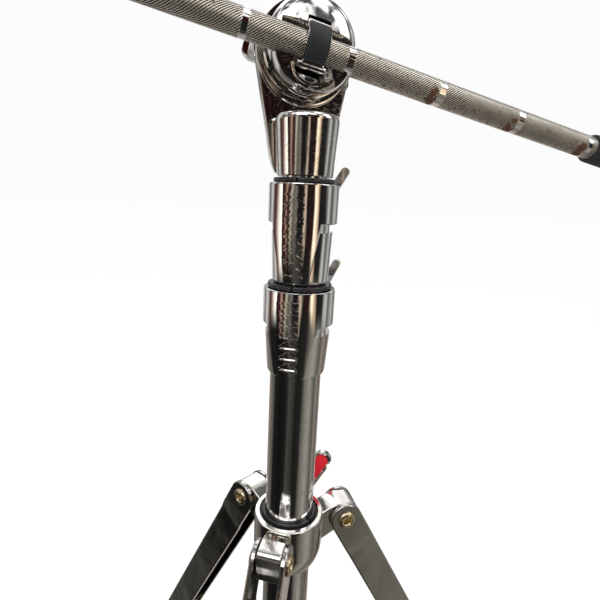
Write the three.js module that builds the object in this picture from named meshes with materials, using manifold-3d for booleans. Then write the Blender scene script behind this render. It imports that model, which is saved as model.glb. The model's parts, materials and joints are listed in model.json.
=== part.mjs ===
// Cymbal boom stand: a tripod with two telescoping tubes, a boom tilter and a cymbal seat.
//
// Millimetres, +Z up. The origin is on the floor, on the axis of the tubes. +X is the direction
// of leg 1. The boom lies in a plane parallel to XZ, on the -Y side of the tubes, and rises
// towards -X, where the cymbal sits. Legs 2 and 3 stand at 120 and 240 degrees.

import * as THREE from 'three';
import { mergeVertices } from 'three/addons/utils/BufferGeometryUtils.js';
import Module from 'manifold-3d';

const wasm = await Module();
wasm.setup();

// ---------------------------------------------------------------- driving dimensions

const FIT = 0.3; // gap between pieces that touch or slide
const TURN_FIT = 0.25; // the same in a hole that a faceted pin turns in
const EXTRA = 1; // how far a cutting body runs past the face that it cuts
const ROUND = 28; // sides of the large turned pieces
const PIN = 12; // sides of pins, rivets and their holes

const TUBE = { base: 14.3, mid: 12.7, top: 11.1, wall: 1.2 }; // outer radii and wall
const BASE_TUBE = { from: 38, to: 551 };
const MID_TUBE = { from: 92, to: 603.5 };
const TOP_TUBE = { from: 150, to: 649 };

// The two clamp collars. Heights are from the floor, radii from the tube axis.
const LOWER_COLLAR = {
  rim: 570.7,
  step: 551.5,
  slot: 546.8,
  foot: 523.4,
  wide: 19.25,
  waist: 17.7,
  bottom: 16.2,
  slotFloor: 15.8,
  bore: TUBE.base + FIT,
  bushing: 16.4,
  inner: TUBE.mid,
  wing: 29.5,
  spin: 26,
};
const MID_COLLAR = {
  rim: 624,
  step: 604.5,
  slot: 600.3,
  foot: 573.5,
  wide: 17.95,
  waist: 15.9,
  bottom: 14.9,
  slotFloor: 14.2,
  bore: TUBE.mid + FIT,
  bushing: 14.9,
  inner: TUBE.top,
  wing: 24.4,
  spin: 31,
};
const FLANGE = { above: 0.3, height: 2.2 }; // lip of a collar bushing above the rim
const TONGUE = { top: 44, bottom: 25, relief: 0.55 }; // half angles of the front tongue, degrees
const FRONT = 240; // azimuth of the collars' fronts, degrees
const BACK = 60; // azimuth of every wing bolt on the tubes, degrees

const TILTER = {
  z: 684.5, // height of the tilt axis
  rise: 2.5, // the plate's round end is centred this far above the axis
  disc: 25.3,
  discFront: 6.8,
  plateFront: 9,
  plateBack: 14,
  head: 22,
  headRise: 3.5,
  headBack: 4.6,
};
const BOSS = { from: 627.2, to: 656.4, bottom: 14.3, top: 16 };
const BOOM = { radius: 6.35, y: -6, tilt: 10.2, seatEnd: 243, tail: 190 };
const EYE = {
  inner: 6.75,
  outer: 9.3,
  pad: 10.8,
  width: 10.8,
  shank: 3.9,
  upper: 74, // angles of the two lips from the front, degrees
  lower: 64,
  shift: -0.7,
};

const LEG = {
  pivotR: 34.5,
  pivotZ: 425.6,
  angle: 28.7, // from vertical, degrees
  length: 462,
  brace: 214, // pivot to brace rivet, and the brace's own length
  half: 10, // half depth across the channel, from its web to its free edges
  top: 9.9, // half width over the bracket's lug
  low: 8.5, // half width below the joggle
  sheet: 2.6,
  joggle: [21, 30],
  webFrom: 17,
};
const LUG = { half: 6.9, end: 41, up: 9.6, down: 7.5 };
const BRACE = { half: 5.6, sheet: 1.5, depth: 6, open: 24 };
const LOW_BRACKET = { z: 50, radius: 19, lug: 3.7 };
const RING = { rim: 432, radius: 20.8, foot: 398, bushing: 18 };
const RIVET = { pivot: 3.4, brace: 2.5, head: 1.5 };

const SEAT = { post: 4, felt: 18, sleeve: 6.3, washer: 17 };

// ---------------------------------------------------------------- materials

function metal(color, roughness) {
  return new THREE.MeshStandardMaterial({ color, roughness, metalness: 1 });
}

function plain(color, roughness) {
  return new THREE.MeshStandardMaterial({ color, roughness, metalness: 0 });
}

const LOOKS = {
  chrome: () => metal(0xd9dcdf, 0.08),
  steel: () => metal(0xa7a49a, 0.35),
  rivet: () => metal(0xc8ad72, 0.25),
  nylon: () => plain(0x2b2c2e, 0.4),
  pad: () => plain(0x15181b, 0.7),
  red: () => plain(0xd8122c, 0.45),
  rubber: () => plain(0x1b1b1c, 0.85),
  felt: () => plain(0x8d8a84, 0.95),
};

// ---------------------------------------------------------------- solids

const radians = THREE.MathUtils.degToRad;

// A closed three.js geometry as a manifold-3d solid, turned the right way out.
function solid(geometry) {
  const bare = geometry.clone();
  bare.deleteAttribute('normal');
  bare.deleteAttribute('uv');
  const merged = mergeVertices(bare, 1e-4);
  const index = merged.index.array;
  const faces = [];
  for (let i = 0; i < index.length; i += 3) {
    const [a, b, c] = [index[i], index[i + 1], index[i + 2]];
    if (a !== b && b !== c && c !== a) faces.push([a, b, c]);
  }
  const build = (list) =>
    new wasm.Manifold(
      new wasm.Mesh({
        numProp: 3,
        vertProperties: new Float32Array(merged.attributes.position.array),
        triVerts: new Uint32Array(list.flat()),
      }),
    );
  const made = build(faces);
  return made.volume() > 0 ? made : build(faces.map(([a, b, c]) => [a, c, b]));
}

// A manifold-3d solid as a three.js geometry.
function geometryOf(made) {
  const mesh = made.getMesh();
  const geometry = new THREE.BufferGeometry();
  geometry.setAttribute('position', new THREE.BufferAttribute(mesh.vertProperties, 3));
  geometry.setIndex(new THREE.BufferAttribute(mesh.triVerts, 1));
  geometry.computeVertexNormals();
  return geometry;
}

function union(...solids) {
  return solids.reduce((all, one) => all.add(one));
}

function cut(body, ...tools) {
  return tools.reduce((left, tool) => left.subtract(tool), body);
}

function part(name, look, made, at = [0, 0, 0]) {
  const mesh = new THREE.Mesh(geometryOf(made), LOOKS[look]());
  mesh.name = name;
  mesh.position.set(...at);
  return mesh;
}

function group(children, { at = [0, 0, 0], turn = [0, 0, 0] } = {}) {
  const made = new THREE.Group();
  made.position.set(...at);
  made.rotation.set(...turn.map(radians));
  made.add(...children);
  return made;
}

// A box from its lowest to its highest corner.
function box([x0, x1], [y0, y1], [z0, z1]) {
  const geometry = new THREE.BoxGeometry(x1 - x0, y1 - y0, z1 - z0);
  return solid(geometry.translate((x0 + x1) / 2, (y0 + y1) / 2, (z0 + z1) / 2));
}

// Turns a profile of [radius, height] points about Z.
function turned(profile, sides = 20) {
  const points = profile.map(([r, z]) => new THREE.Vector2(r, z));
  return solid(new THREE.LatheGeometry(points, sides).rotateX(Math.PI / 2));
}

// A ring about Z whose outer outline is given from bottom to top, round a plain bore.
function ring(outline, bore, sides = 20) {
  const first = outline[0];
  const last = outline[outline.length - 1];
  return turned([[bore, first[1]], ...outline, [bore, last[1]], [bore, first[1]]], sides);
}

// A solid of revolution about Z, closed on the axis at both ends.
function spindle(outline, sides = 20) {
  const first = outline[0];
  const last = outline[outline.length - 1];
  return turned([[0, first[1]], ...outline, [0, last[1]]], sides);
}

function rod(radius, from, to, sides = 20) {
  return spindle([[radius, from], [radius, to]], sides);
}

// The same along other axes: from and to are places on that axis.
function rodAlongX(radius, from, to, sides = PIN) {
  const geometry = new THREE.CylinderGeometry(radius, radius, to - from, sides);
  return solid(geometry.rotateZ(Math.PI / 2).translate((from + to) / 2, 0, 0));
}

function rodAlongY(radius, from, to, sides = PIN) {
  const geometry = new THREE.CylinderGeometry(radius, radius, to - from, sides);
  return solid(geometry.translate(0, (from + to) / 2, 0));
}

// A spindle turned about the Y axis: its outline holds [radius, y] points.
function spindleAlongY(outline, sides = 20) {
  const points = [[0, outline[0][1]], ...outline, [0, outline[outline.length - 1][1]]];
  return solid(new THREE.LatheGeometry(points.map(([r, y]) => new THREE.Vector2(r, y)), sides));
}

function extrude(shape, depth, curveSegments = 10) {
  const settings = { depth, bevelEnabled: false, curveSegments };
  return new THREE.ExtrudeGeometry(shape, settings);
}

// A flat outline in X and Z, with the given thickness from y0 to y1.
function slabXZ(shape, [y0, y1], curveSegments) {
  const geometry = extrude(shape, y1 - y0, curveSegments);
  return solid(geometry.rotateX(Math.PI / 2).translate(0, y1, 0));
}

// A flat outline given as [y, z] points, with the given thickness from x0 to x1.
function slabYZ(points, [x0, x1]) {
  const shape = new THREE.Shape(points.map(([y, z]) => new THREE.Vector2(y, z)));
  const geometry = extrude(shape, x1 - x0);
  return solid(geometry.rotateX(Math.PI / 2).rotateZ(Math.PI / 2).translate(x0, 0, 0));
}

// A bar in X and Z with a round end at each of its two ends, lying along Z from z0 to z1.
function roundedBar(radius, z0, z1) {
  const shape = new THREE.Shape();
  shape.absarc(0, z1, radius, 0, Math.PI, false);
  shape.absarc(0, z0, radius, Math.PI, 2 * Math.PI, false);
  return shape;
}

// ---------------------------------------------------------------- tubes

function tube(name, radius, { from, to }) {
  return part(name, 'chrome', ring([[radius, from], [radius, to]], radius - TUBE.wall, ROUND));
}

function tubeEndPlug() {
  const inner = TUBE.base - TUBE.wall - FIT;
  const { from } = BASE_TUBE;
  const outline = [
    [9, from - 5],
    [TUBE.base - 1, from - 4],
    [TUBE.base, from - 2.6],
    [TUBE.base, from - FIT],
    [inner, from - FIT],
    [inner - 0.6, from + 14],
  ];
  return part('tube_end_plug', 'rubber', spindle(outline));
}

// ---------------------------------------------------------------- clamp collars

// The front tongue: a stretch of the wide barrel that runs down the front and tapers in.
function collarTongue(c) {
  const outline = [
    [c.bottom + 0.5, c.foot + 1.2],
    [c.wide, c.slot],
    [c.wide, c.step + 1],
  ];
  const barrel = ring(outline, c.bore, ROUND);
  const y = (degrees) => c.wide * Math.sin(radians(degrees));
  const sides = slabYZ(
    [
      [-y(TONGUE.bottom), c.foot],
      [y(TONGUE.bottom), c.foot],
      [y(TONGUE.top), c.step + 1],
      [-y(TONGUE.top), c.step + 1],
    ],
    [0, c.wide + EXTRA],
  );
  return barrel.intersect(sides);
}

// Raised grip ribs in a raised frame, on the tongue. They follow its taper.
function collarRelief(c) {
  const low = c.foot + 6;
  const high = c.rim - 7;
  const half = 5.4;
  const bar = 0.9;
  const ribs = 7;
  const bars = [
    box([0, c.wide + 2], [-half, -half + bar], [low, high]),
    box([0, c.wide + 2], [half - bar, half], [low, high]),
  ];
  for (let i = 0; i <= ribs; i += 1) {
    const z = low + ((high - low - bar) * i) / ribs;
    bars.push(box([0, c.wide + 2], [-half, half], [z, z + bar]));
  }
  const skin = ring(
    [
      [c.bottom + 0.5 + TONGUE.relief, c.foot + 1.2],
      [c.wide + TONGUE.relief, c.slot],
      [c.wide + TONGUE.relief, c.rim - 2],
    ],
    c.bushing + 0.9,
    ROUND,
  );
  return union(...bars).intersect(skin);
}

// The threaded boss at the back that takes the wing bolt, with its blind hole.
function collarBoss(c) {
  return rodAlongX(7, -(c.wing - 4.6), -(c.bore + 0.4)).translate(0, 0, c.step - 0.5);
}

// A clamp collar: wide band, slot round the back and sides, narrower barrel, front tongue.
// It is drawn with its front at +X, and turned to FRONT when it is placed.
function collar(name, c) {
  const outside = union(
    ring(
      [
        [c.bottom - 1.1, c.foot],
        [c.bottom - 0.3, c.foot + 0.7],
        [c.bottom, c.foot + 2],
        [c.waist, c.slot],
        [c.slotFloor, c.slot],
        [c.slotFloor, c.step],
        [c.wide - 0.5, c.step],
        [c.wide, c.step + 0.6],
        [c.wide, c.rim - 0.9],
        [c.wide - 0.7, c.rim],
      ],
      c.bore,
      ROUND,
    ),
    collarTongue(c),
    collarRelief(c),
    collarBoss(c),
  );
  const seat = rod(c.bushing, c.step, c.rim + EXTRA, ROUND);
  const hole = rodAlongX(3.1, -(c.wing + 2), -(c.bushing + 0.5)).translate(0, 0, c.step - 0.5);
  const made = cut(outside, hole, seat, rod(c.bore, c.foot - EXTRA, c.rim, ROUND));
  return group([part(name, 'chrome', made)], { turn: [0, 0, FRONT] });
}

// A split nylon ring in the top of a collar, with a lip over the rim.
function collarBushing(name, c) {
  const lip = c.rim + FLANGE.above;
  const outer = c.bushing - FIT;
  const outline = [
    [outer, c.step + 0.5],
    [outer, lip],
    [c.wide - 2.6, lip],
    [c.wide - 2, lip + 0.6],
    [c.wide - 2.2, lip + FLANGE.height - 0.4],
    [c.wide - 2.8, lip + FLANGE.height],
  ];
  const split = box([0, 30], [-0.5, 0.5], [c.foot, c.rim + 10]);
  const made = cut(ring(outline, c.inner + FIT, ROUND), split);
  return group([part(name, 'nylon', made)], { turn: [0, 0, FRONT] });
}

// ---------------------------------------------------------------- wing bolts and nuts

// One slender ear of a wing, drawn along +Z in the XZ plane with its root at the origin.
function ear(length, root, tip) {
  const shape = new THREE.Shape();
  shape.moveTo(-root, 0);
  shape.lineTo(-tip, length - tip);
  shape.absarc(0, length - tip, tip, Math.PI, 0, true);
  shape.lineTo(root, 0);
  shape.closePath();
  return shape;
}

// Two ears and a hub about the Y axis, from y = 0 (hub face) to y = depth.
function wings({ length, root, tip, thick, depth, hub }) {
  const [y0, y1] = [depth - thick - 0.6, depth - 0.6];
  const up = slabXZ(ear(length, root, tip), [y0, y1], 4);
  const down = up.rotate([0, 180, 0]);
  const recess = slabXZ(ear(length - 1.6, root * 0.35, tip - 1.6), [y1 - 0.5, y1 + 1], 4)
    .subtract(rodAlongY(hub + 1.5, 0, depth + 2));
  const centre = spindleAlongY([[hub, 0], [hub, depth - 1], [hub - 1, depth]], 20);
  return cut(union(up, down, centre), recess, recess.rotate([0, 180, 0]));
}

// A wing bolt whose shank points along -Y from its hub.
function wingBolt(wing, shank, radius) {
  return union(wings(wing), rodAlongY(radius, -shank, 1));
}

// Places something drawn about the Y axis radially at the back of the tubes, turned by spin.
function atBack(children, radius, z, spin) {
  const bolt = group(children, { turn: [0, spin, 0] });
  const out = group([bolt], { at: [0, radius, z] });
  return group([out], { turn: [0, 0, BACK - 90] });
}

const COLLAR_WING = { length: 35, root: 2.8, tip: 2.3, thick: 4.2, depth: 7.6, hub: 6 };
const BRACKET_WING = { length: 36, root: 4.8, tip: 5.9, thick: 3.4, depth: 10, hub: 7 };

function collarWingBolt(name, c) {
  const face = c.wing - 4.6 + FIT;
  const shank = face - c.bushing - 1.2;
  const made = wingBolt(COLLAR_WING, shank, 2.9);
  return atBack([part(name, 'chrome', made)], face, c.step - 0.5, c.spin);
}

// ---------------------------------------------------------------- leg bracket

function bracketLug() {
  const shape = new THREE.Shape();
  const { pivotR } = LEG;
  shape.moveTo(16, -16);
  shape.lineTo(pivotR - 4, -LUG.down);
  shape.lineTo(LUG.end, -LUG.down);
  shape.lineTo(LUG.end, LUG.up - 6);
  shape.quadraticCurveTo(LUG.end, LUG.up - 1.5, LUG.end - 4, LUG.up - 0.4);
  shape.lineTo(pivotR - 3, LUG.up);
  shape.quadraticCurveTo(pivotR - 9, LUG.up, 19, 5);
  shape.lineTo(16, 5);
  shape.closePath();
  const raw = slabXZ(shape, [-LUG.half, LUG.half], 5);
  const hole = rodAlongY(RIVET.pivot + TURN_FIT, -LUG.half - 1, LUG.half + 1);
  return cut(raw, hole.translate(pivotR, 0, 0)).translate(0, 0, LEG.pivotZ);
}

function legBracket() {
  const outline = [
    [15.6, RING.foot],
    [17.9, RING.foot + 3.4],
    [19.7, RING.foot + 7.6],
    [RING.radius, RING.foot + 13],
    [RING.radius, RING.rim - 1],
    [RING.radius - 0.9, RING.rim],
  ];
  const boss = rodAlongX(7.2, 14, 26).translate(0, 0, RING.rim - 11.5).rotate([0, 0, BACK]);
  const lugs = [0, 120, 240].map((azimuth) => bracketLug().rotate([0, 0, azimuth]));
  const whole = union(ring(outline, TUBE.base + FIT, ROUND), boss, ...lugs);
  const hole = rodAlongX(3.6, 19, 30).translate(0, 0, RING.rim - 11.5).rotate([0, 0, BACK]);
  const seat = rod(RING.bushing, RING.rim - 12, RING.rim + EXTRA, ROUND);
  const through = rod(TUBE.base + FIT, RING.foot - EXTRA, RING.rim + EXTRA, ROUND);
  return part('leg_bracket', 'chrome', cut(whole, hole, seat, through));
}

function bracketBushing() {
  const outline = [
    [RING.bushing - FIT, RING.rim - 11.6],
    [RING.bushing - FIT, RING.rim - 1.4],
    [RING.bushing - 1.1, RING.rim - 0.9],
    [RING.bushing - 1.5, RING.rim - 0.9],
    [RING.bushing - 1.7, RING.rim + 0.9],
    [RING.bushing - 2.4, RING.rim + 1.3],
  ];
  const slit = box([0, 30], [-0.5, 0.5], [RING.foot, RING.rim + 10]).rotate([0, 0, -55]);
  const made = cut(ring(outline, TUBE.base + FIT, ROUND), slit);
  return part('leg_bracket_bushing', 'nylon', made);
}

function bracketWingBolt() {
  const z = RING.rim - 11.5;
  const face = 26.3;
  const bolt = wingBolt(BRACKET_WING, face - 20.2, 3.3);
  const { length, root, tip, depth } = BRACKET_WING;
  const front = depth - 0.6 - BRACKET_WING.thick;
  const pocket = slabXZ(ear(length - 2, root * 0.6, tip - 1.4), [front - 1, front + 0.9], 4)
    .subtract(rodAlongY(BRACKET_WING.hub + 1.2, -1, depth));
  const inlay = slabXZ(ear(length - 2.4, root * 0.5, tip - 1.8), [front - 0.1, front + 0.6], 4)
    .subtract(rodAlongY(BRACKET_WING.hub + 1.6, -1, depth));
  const children = [
    part('bracket_wing_bolt', 'chrome', cut(bolt, pocket)),
    part('bracket_wing_inlay', 'red', inlay),
  ];
  return atBack(children, face, z, 26);
}

// ---------------------------------------------------------------- legs and braces

// Drawn at the pivot: down the leg is -Z, and the web of the channel is on the +X side.
function legChannel() {
  const { top, low, sheet, joggle, length, half } = LEG;
  const head = 12;
  const widths = (inset) => {
    const right = [
      [top - inset, head],
      [top - inset, -joggle[0]],
      [low - inset, -joggle[1]],
      [low - inset, -length - 2],
    ];
    const left = [...right].reverse().map(([y, z]) => [-y, z]);
    return [...right, ...left];
  };
  const side = new THREE.Shape();
  side.absarc(0, 0, half, 0, Math.PI, false);
  side.lineTo(-half, -length);
  side.lineTo(half, -length);
  side.closePath();
  const envelope = slabXZ(side, [-top - 1, top + 1], 14);
  const outer = slabYZ(widths(0), [-half - 1, half + 1]).intersect(envelope);
  const inner = slabYZ(widths(sheet), [-half - 2, half - sheet]);
  const window = box([0, half + 2], [sheet - top, top - sheet], [-LEG.webFrom, head]);
  const pivot = rodAlongY(RIVET.pivot + TURN_FIT, -top - 2, top + 2);
  const braceHole = rodAlongY(RIVET.brace + TURN_FIT, -top - 2, top + 2);
  return cut(outer, inner, window, pivot, braceHole.translate(0, 0, -LEG.brace));
}

// A rivet along Y with a domed head at each end, over a width of 2 * half.
function rivet(radius, half, hollow) {
  const face = half + 0.15;
  const head = radius + 2;
  const outline = [
    [head - 1.2, -face - RIVET.head],
    [head, -face - RIVET.head * 0.5],
    [head, -face],
    [radius, -face],
    [radius, face],
    [head, face],
    [head, face + RIVET.head * 0.5],
    [head - 1.2, face + RIVET.head],
  ];
  const made = spindleAlongY(outline, PIN);
  if (!hollow) return made;
  const bore = rodAlongY(radius - 1.2, face - 2, face + 3);
  return cut(made, bore, bore.mirror([0, 1, 0]));
}

function brace() {
  const { half, sheet, depth, open } = BRACE;
  const length = LEG.brace;
  const envelope = slabXZ(roundedBar(depth, -length, 0), [-half, half], 8);
  const hollow = box([-depth - 1, depth - sheet], [sheet - half, half - sheet], [-length - 9, 9]);
  const upper = box([0, depth + 1], [sheet - half, half - sheet], [-open, 9]);
  const lower = box([0, depth + 1], [sheet - half, half - sheet], [-length - 9, open - length]);
  const hole = rodAlongY(RIVET.brace + TURN_FIT, -half - 2, half + 2);
  const heads = [-1, 1].map((side) => {
    const outline = [[4, 0], [4, 0.5], [2.8, 1.3]];
    const head = spindleAlongY(outline, PIN).translate(0, half - 0.1, 0);
    const placed = side > 0 ? head : head.rotate([0, 0, 180]);
    return placed.translate(0, 0, -length);
  });
  const bar = cut(envelope, hollow, upper, lower, hole);
  return union(bar, ...heads);
}

// A moulded rubber foot with a flat sole, drawn in the leg's upright plane with x from the axis.
function foot() {
  const lean = radians(LEG.angle);
  const endX = LEG.pivotR + LEG.length * Math.sin(lean);
  const endZ = LEG.pivotZ - LEG.length * Math.cos(lean);
  const at = (along, out) => [
    endX + along * Math.sin(lean) + out * Math.cos(lean),
    endZ - along * Math.cos(lean) + out * Math.sin(lean),
  ];
  const rim = LEG.half + 2.6;
  const shape = new THREE.Shape();
  shape.moveTo(...at(-20, -rim));
  shape.lineTo(endX - 15, 5);
  shape.quadraticCurveTo(endX - 15.5, 0, endX - 10, 0);
  shape.lineTo(endX + 8, 0);
  shape.quadraticCurveTo(endX + 14, 0, endX + 14, 7);
  shape.quadraticCurveTo(endX + 14, 18, ...at(-10, rim));
  shape.lineTo(...at(-20, rim));
  shape.closePath();
  const width = LEG.low + 2.6;
  const body = slabXZ(shape, [-width, width], 6);
  const [deep, wide] = [LEG.half + FIT, LEG.low + FIT];
  const pocket = box([-deep, deep], [-wide, wide], [-LEG.length - FIT, 0]);
  return cut(body, pocket.rotate([0, -LEG.angle, 0]).translate(LEG.pivotR, 0, LEG.pivotZ));
}

function leg(number, azimuth) {
  const name = `leg_${number}`;
  const joint = [0, 0, -LEG.brace];
  const channel = [
    part(name, 'chrome', legChannel()),
    part(`${name}_pivot_rivet`, 'rivet', rivet(RIVET.pivot, LEG.top, true)),
    part(`${name}_brace_rivet`, 'rivet', rivet(RIVET.brace, LEG.low, false), joint),
  ];
  const turned = { at: joint, turn: [0, 2 * LEG.angle, 0] };
  const link = group([part(`${name}_brace`, 'chrome', brace())], turned);
  const tilted = group([...channel, link], {
    at: [LEG.pivotR, 0, LEG.pivotZ],
    turn: [0, -LEG.angle, 0],
  });
  return group([tilted, part(`${name}_foot`, 'rubber', foot())], { turn: [0, 0, azimuth] });
}

function lowerBracket() {
  const { z, radius, lug } = LOW_BRACKET;
  const outline = [
    [radius - 1, z - 8],
    [radius, z - 7],
    [radius, z + 7],
    [radius - 1, z + 8],
  ];
  const shape = new THREE.Shape();
  shape.moveTo(15, -6);
  shape.lineTo(LEG.pivotR, -5.5);
  shape.absarc(LEG.pivotR, 0, 5.5, -Math.PI / 2, Math.PI / 2, false);
  shape.lineTo(15, 6);
  shape.closePath();
  const pin = rodAlongY(RIVET.brace + 0.1, -lug - 1, lug + 1).translate(LEG.pivotR, 0, 0);
  const arm = cut(slabXZ(shape, [-lug, lug], 8), pin).translate(0, 0, z);
  const arms = [0, 120, 240].map((azimuth) => arm.rotate([0, 0, azimuth]));
  const screwHole = rodAlongX(2.6, 14, 25).translate(0, 0, z).rotate([0, 0, BACK]);
  const through = rod(TUBE.base + FIT, z - 10, z + 10, ROUND);
  const made = cut(union(ring(outline, TUBE.base + FIT, ROUND), ...arms), through, screwHole);
  return part('lower_bracket', 'chrome', made);
}

function lowerBracketScrew() {
  const outline = [[2.4, TUBE.base + 0.5], [2.4, LOW_BRACKET.radius - 0.6], [1.6, LOW_BRACKET.radius]];
  const socket = rod(1.2, LOW_BRACKET.radius - 2, LOW_BRACKET.radius + 2, 6);
  const screw = part('lower_bracket_screw', 'steel', cut(spindle(outline, PIN), socket));
  const lying = group([screw], { at: [0, 0, LOW_BRACKET.z], turn: [0, 90, 0] });
  return group([lying], { turn: [0, 0, BACK] });
}

function bracePin(number, azimuth) {
  const { z, lug } = LOW_BRACKET;
  const pin = part(`leg_${number}_lower_pin`, 'rivet', rodAlongY(RIVET.brace, -lug, lug));
  pin.position.set(LEG.pivotR, 0, z);
  return group([pin], { turn: [0, 0, azimuth] });
}

// ---------------------------------------------------------------- boom tilter

// The upright plate: a taper from the boss up to a round end about the tilt axis.
function tilterPlate() {
  const { disc, discFront, plateFront, plateBack } = TILTER;
  const middle = TILTER.z + TILTER.rise;
  const shape = new THREE.Shape();
  const low = BOSS.from + 1.5 - middle;
  const meet = radians(-10);
  shape.moveTo(-13, low);
  shape.lineTo(13, low);
  shape.quadraticCurveTo(16.6, low + 8, 18, low + 18);
  shape.absarc(0, 0, disc, meet, Math.PI - meet, false);
  shape.lineTo(-18, low + 18);
  shape.quadraticCurveTo(-16.6, low + 8, -13, low);
  const plate = slabXZ(shape, [plateFront, plateBack], 14);
  const pad = spindleAlongY(
    [
      [disc - 1.2, discFront],
      [disc, discFront + 0.9],
      [disc, plateFront + 1],
    ],
    ROUND,
  );
  return union(plate, pad).translate(0, 0, middle);
}

function tilterSocket() {
  const { z } = TILTER;
  const outline = [
    [BOSS.bottom - 0.5, BOSS.from],
    [BOSS.bottom, BOSS.from + 0.6],
    [BOSS.top, BOSS.to - 3],
    [BOSS.top - 0.3, BOSS.to - 1],
    [BOSS.top - 1.4, BOSS.to],
  ];
  const boss = spindle(outline, ROUND);
  const bore = rod(TUBE.top + FIT, BOSS.from - EXTRA, TOP_TUBE.to + FIT, ROUND);
  const axle = rodAlongY(EYE.shank + FIT, 0, 30).translate(0, 0, z);
  const hole = rodAlongY(2.6, 12, 24).translate(0, 0, BOSS.from + 12);
  return part('tilter_socket', 'chrome', cut(union(boss, tilterPlate()), bore, axle, hole));
}

function tilterSetScrew() {
  const outline = [[2.4, 12.3], [2.4, 14.4], [1.6, 15]];
  const socket = rod(1.2, 13.2, 18, 6);
  const screw = part('tilter_set_screw', 'steel', cut(spindle(outline, PIN), socket));
  return group([screw], { at: [0, 0, BOSS.from + 12], turn: [-90, 0, 0] });
}

// A toothed friction disc between the plate and the head.
function tilterRatchet() {
  const teeth = 24;
  const shape = new THREE.Shape();
  for (let i = 0; i < 2 * teeth; i += 1) {
    const angle = (Math.PI * i) / teeth;
    const r = i % 2 ? 18.6 : 19.8;
    const point = [r * Math.cos(angle), r * Math.sin(angle)];
    if (i === 0) shape.moveTo(...point);
    else shape.lineTo(...point);
  }
  shape.closePath();
  const disc = slabXZ(shape, [TILTER.headBack + FIT, TILTER.discFront - FIT], 4);
  const made = cut(disc, rodAlongY(EYE.shank + FIT, 0, 10));
  return part('tilter_ratchet', 'nylon', made, [0, 0, TILTER.z]);
}

// The head is drawn about the tilt axis, with the boom level along X, and then tilted.
// It is a domed disc behind the boom with two lobes that cradle the boom from below.
function tilterHead() {
  const { head, headRise, headBack } = TILTER;
  const grooveR = BOOM.radius + FIT;
  const dome = spindleAlongY(
    [
      [head - 13, -7.8],
      [head - 7, -6.7],
      [head - 2.6, -4.6],
      [head - 0.5, -1.4],
      [head, 1.4],
      [head, headBack - 0.7],
      [head - 0.7, headBack],
    ],
    ROUND,
  ).translate(0, 0, headRise);
  const cradle = spindleAlongY(
    [
      [head - 9, -12],
      [head - 4.5, -10.4],
      [head - 2, -6],
      [head - 2, 0],
    ],
    ROUND,
  );
  const below = box([-40, 40], [-20, 2], [-40, -3]);
  const groove = rodAlongX(grooveR, -40, 40, ROUND).translate(0, BOOM.y, 0);
  const mouth = box([-40, 40], [-40, BOOM.y], [-grooveR, grooveR]);
  const shelf = box([-17.5, 17.5], [-20, -1.2], [0, 9.5]);
  const eyeSlot = box([-5.6, 5.6], [-40, 3.6], [-12, 12.5]).translate(EYE.shift, 0, 0);
  const cup = rodAlongY(9.6, -20, -5.4, ROUND).translate(0, 0, -10.5);
  const axle = rodAlongY(EYE.shank + FIT, -40, 10);
  const whole = union(dome, cradle.intersect(below));
  return cut(whole, groove, mouth, shelf, eyeSlot, cup, axle);
}

function eyeBolt() {
  const { inner, outer, width, shank, upper, lower, shift } = EYE;
  const eye = rodAlongX(outer, -width / 2, width / 2, ROUND).translate(shift, BOOM.y, 0);
  const neck = rodAlongY(shank, BOOM.y + inner + 0.3, 27.5);
  const hole = rodAlongX(inner, -width, width, ROUND).translate(shift, BOOM.y, 0);
  const lip = (degrees) => {
    const [y, z] = [-outer * Math.cos(radians(degrees)), outer * Math.sin(radians(degrees))];
    return rodAlongX(1.7, -width / 2, width / 2).translate(shift, BOOM.y + y, z);
  };
  return cut(union(eye, neck, lip(upper), lip(-lower)), hole);
}

// The black pad over the front of the eye, between its two lips.
function eyePad() {
  const { outer, pad, width, upper, lower, shift } = EYE;
  const [low, high] = [radians(12 - lower), radians(upper - 12)];
  const shape = new THREE.Shape();
  shape.absarc(0, 0, pad, low, high, false);
  shape.absarc(0, 0, outer + 0.15, high, low, true);
  shape.closePath();
  const flat = extrude(shape, width, 14).translate(0, 0, -width / 2);
  const made = solid(flat.rotateY(-Math.PI / 2).rotateX(Math.PI / 2));
  return made.translate(shift, BOOM.y, 0);
}

function tilterWasher() {
  const made = ring([[9, 0], [9, 1.2], [8.4, 1.6]], EYE.shank + FIT).rotate([-90, 0, 0]);
  return part('tilter_washer', 'steel', made, [0, TILTER.plateBack + FIT, TILTER.z]);
}

function tilterWingNut() {
  const made = wings({ length: 30, root: 4.4, tip: 5.6, thick: 3.2, depth: 11, hub: 8 });
  const nut = part('tilter_wing_nut', 'chrome', made.subtract(rodAlongY(EYE.shank + FIT, -1, 12)));
  return group([nut], { at: [0, TILTER.plateBack + 2.3, TILTER.z], turn: [0, -77, 0] });
}

// ---------------------------------------------------------------- boom and cymbal seat

// The rod lies along X, with its cymbal end at -X. Its radius is that of the knurl's crests.
function boomRod() {
  const { radius, seatEnd, tail } = BOOM;
  const outline = [
    [radius - 0.8, -seatEnd],
    [radius, -seatEnd + 0.8],
    [radius, tail - 0.8],
    [radius - 0.8, tail],
  ];
  return spindle(outline).rotate([0, 90, 0]);
}

function boomEndCap() {
  const { radius, tail } = BOOM;
  const outline = [
    [radius + 1.3, tail - 15],
    [radius + 1.6, tail - 14],
    [radius + 1.6, tail + 1.5],
    [radius - 0.6, tail + 4],
  ];
  const bore = rod(radius + FIT, tail - 20, tail + FIT);
  return cut(spindle(outline), bore).rotate([0, 90, 0]);
}

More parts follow.
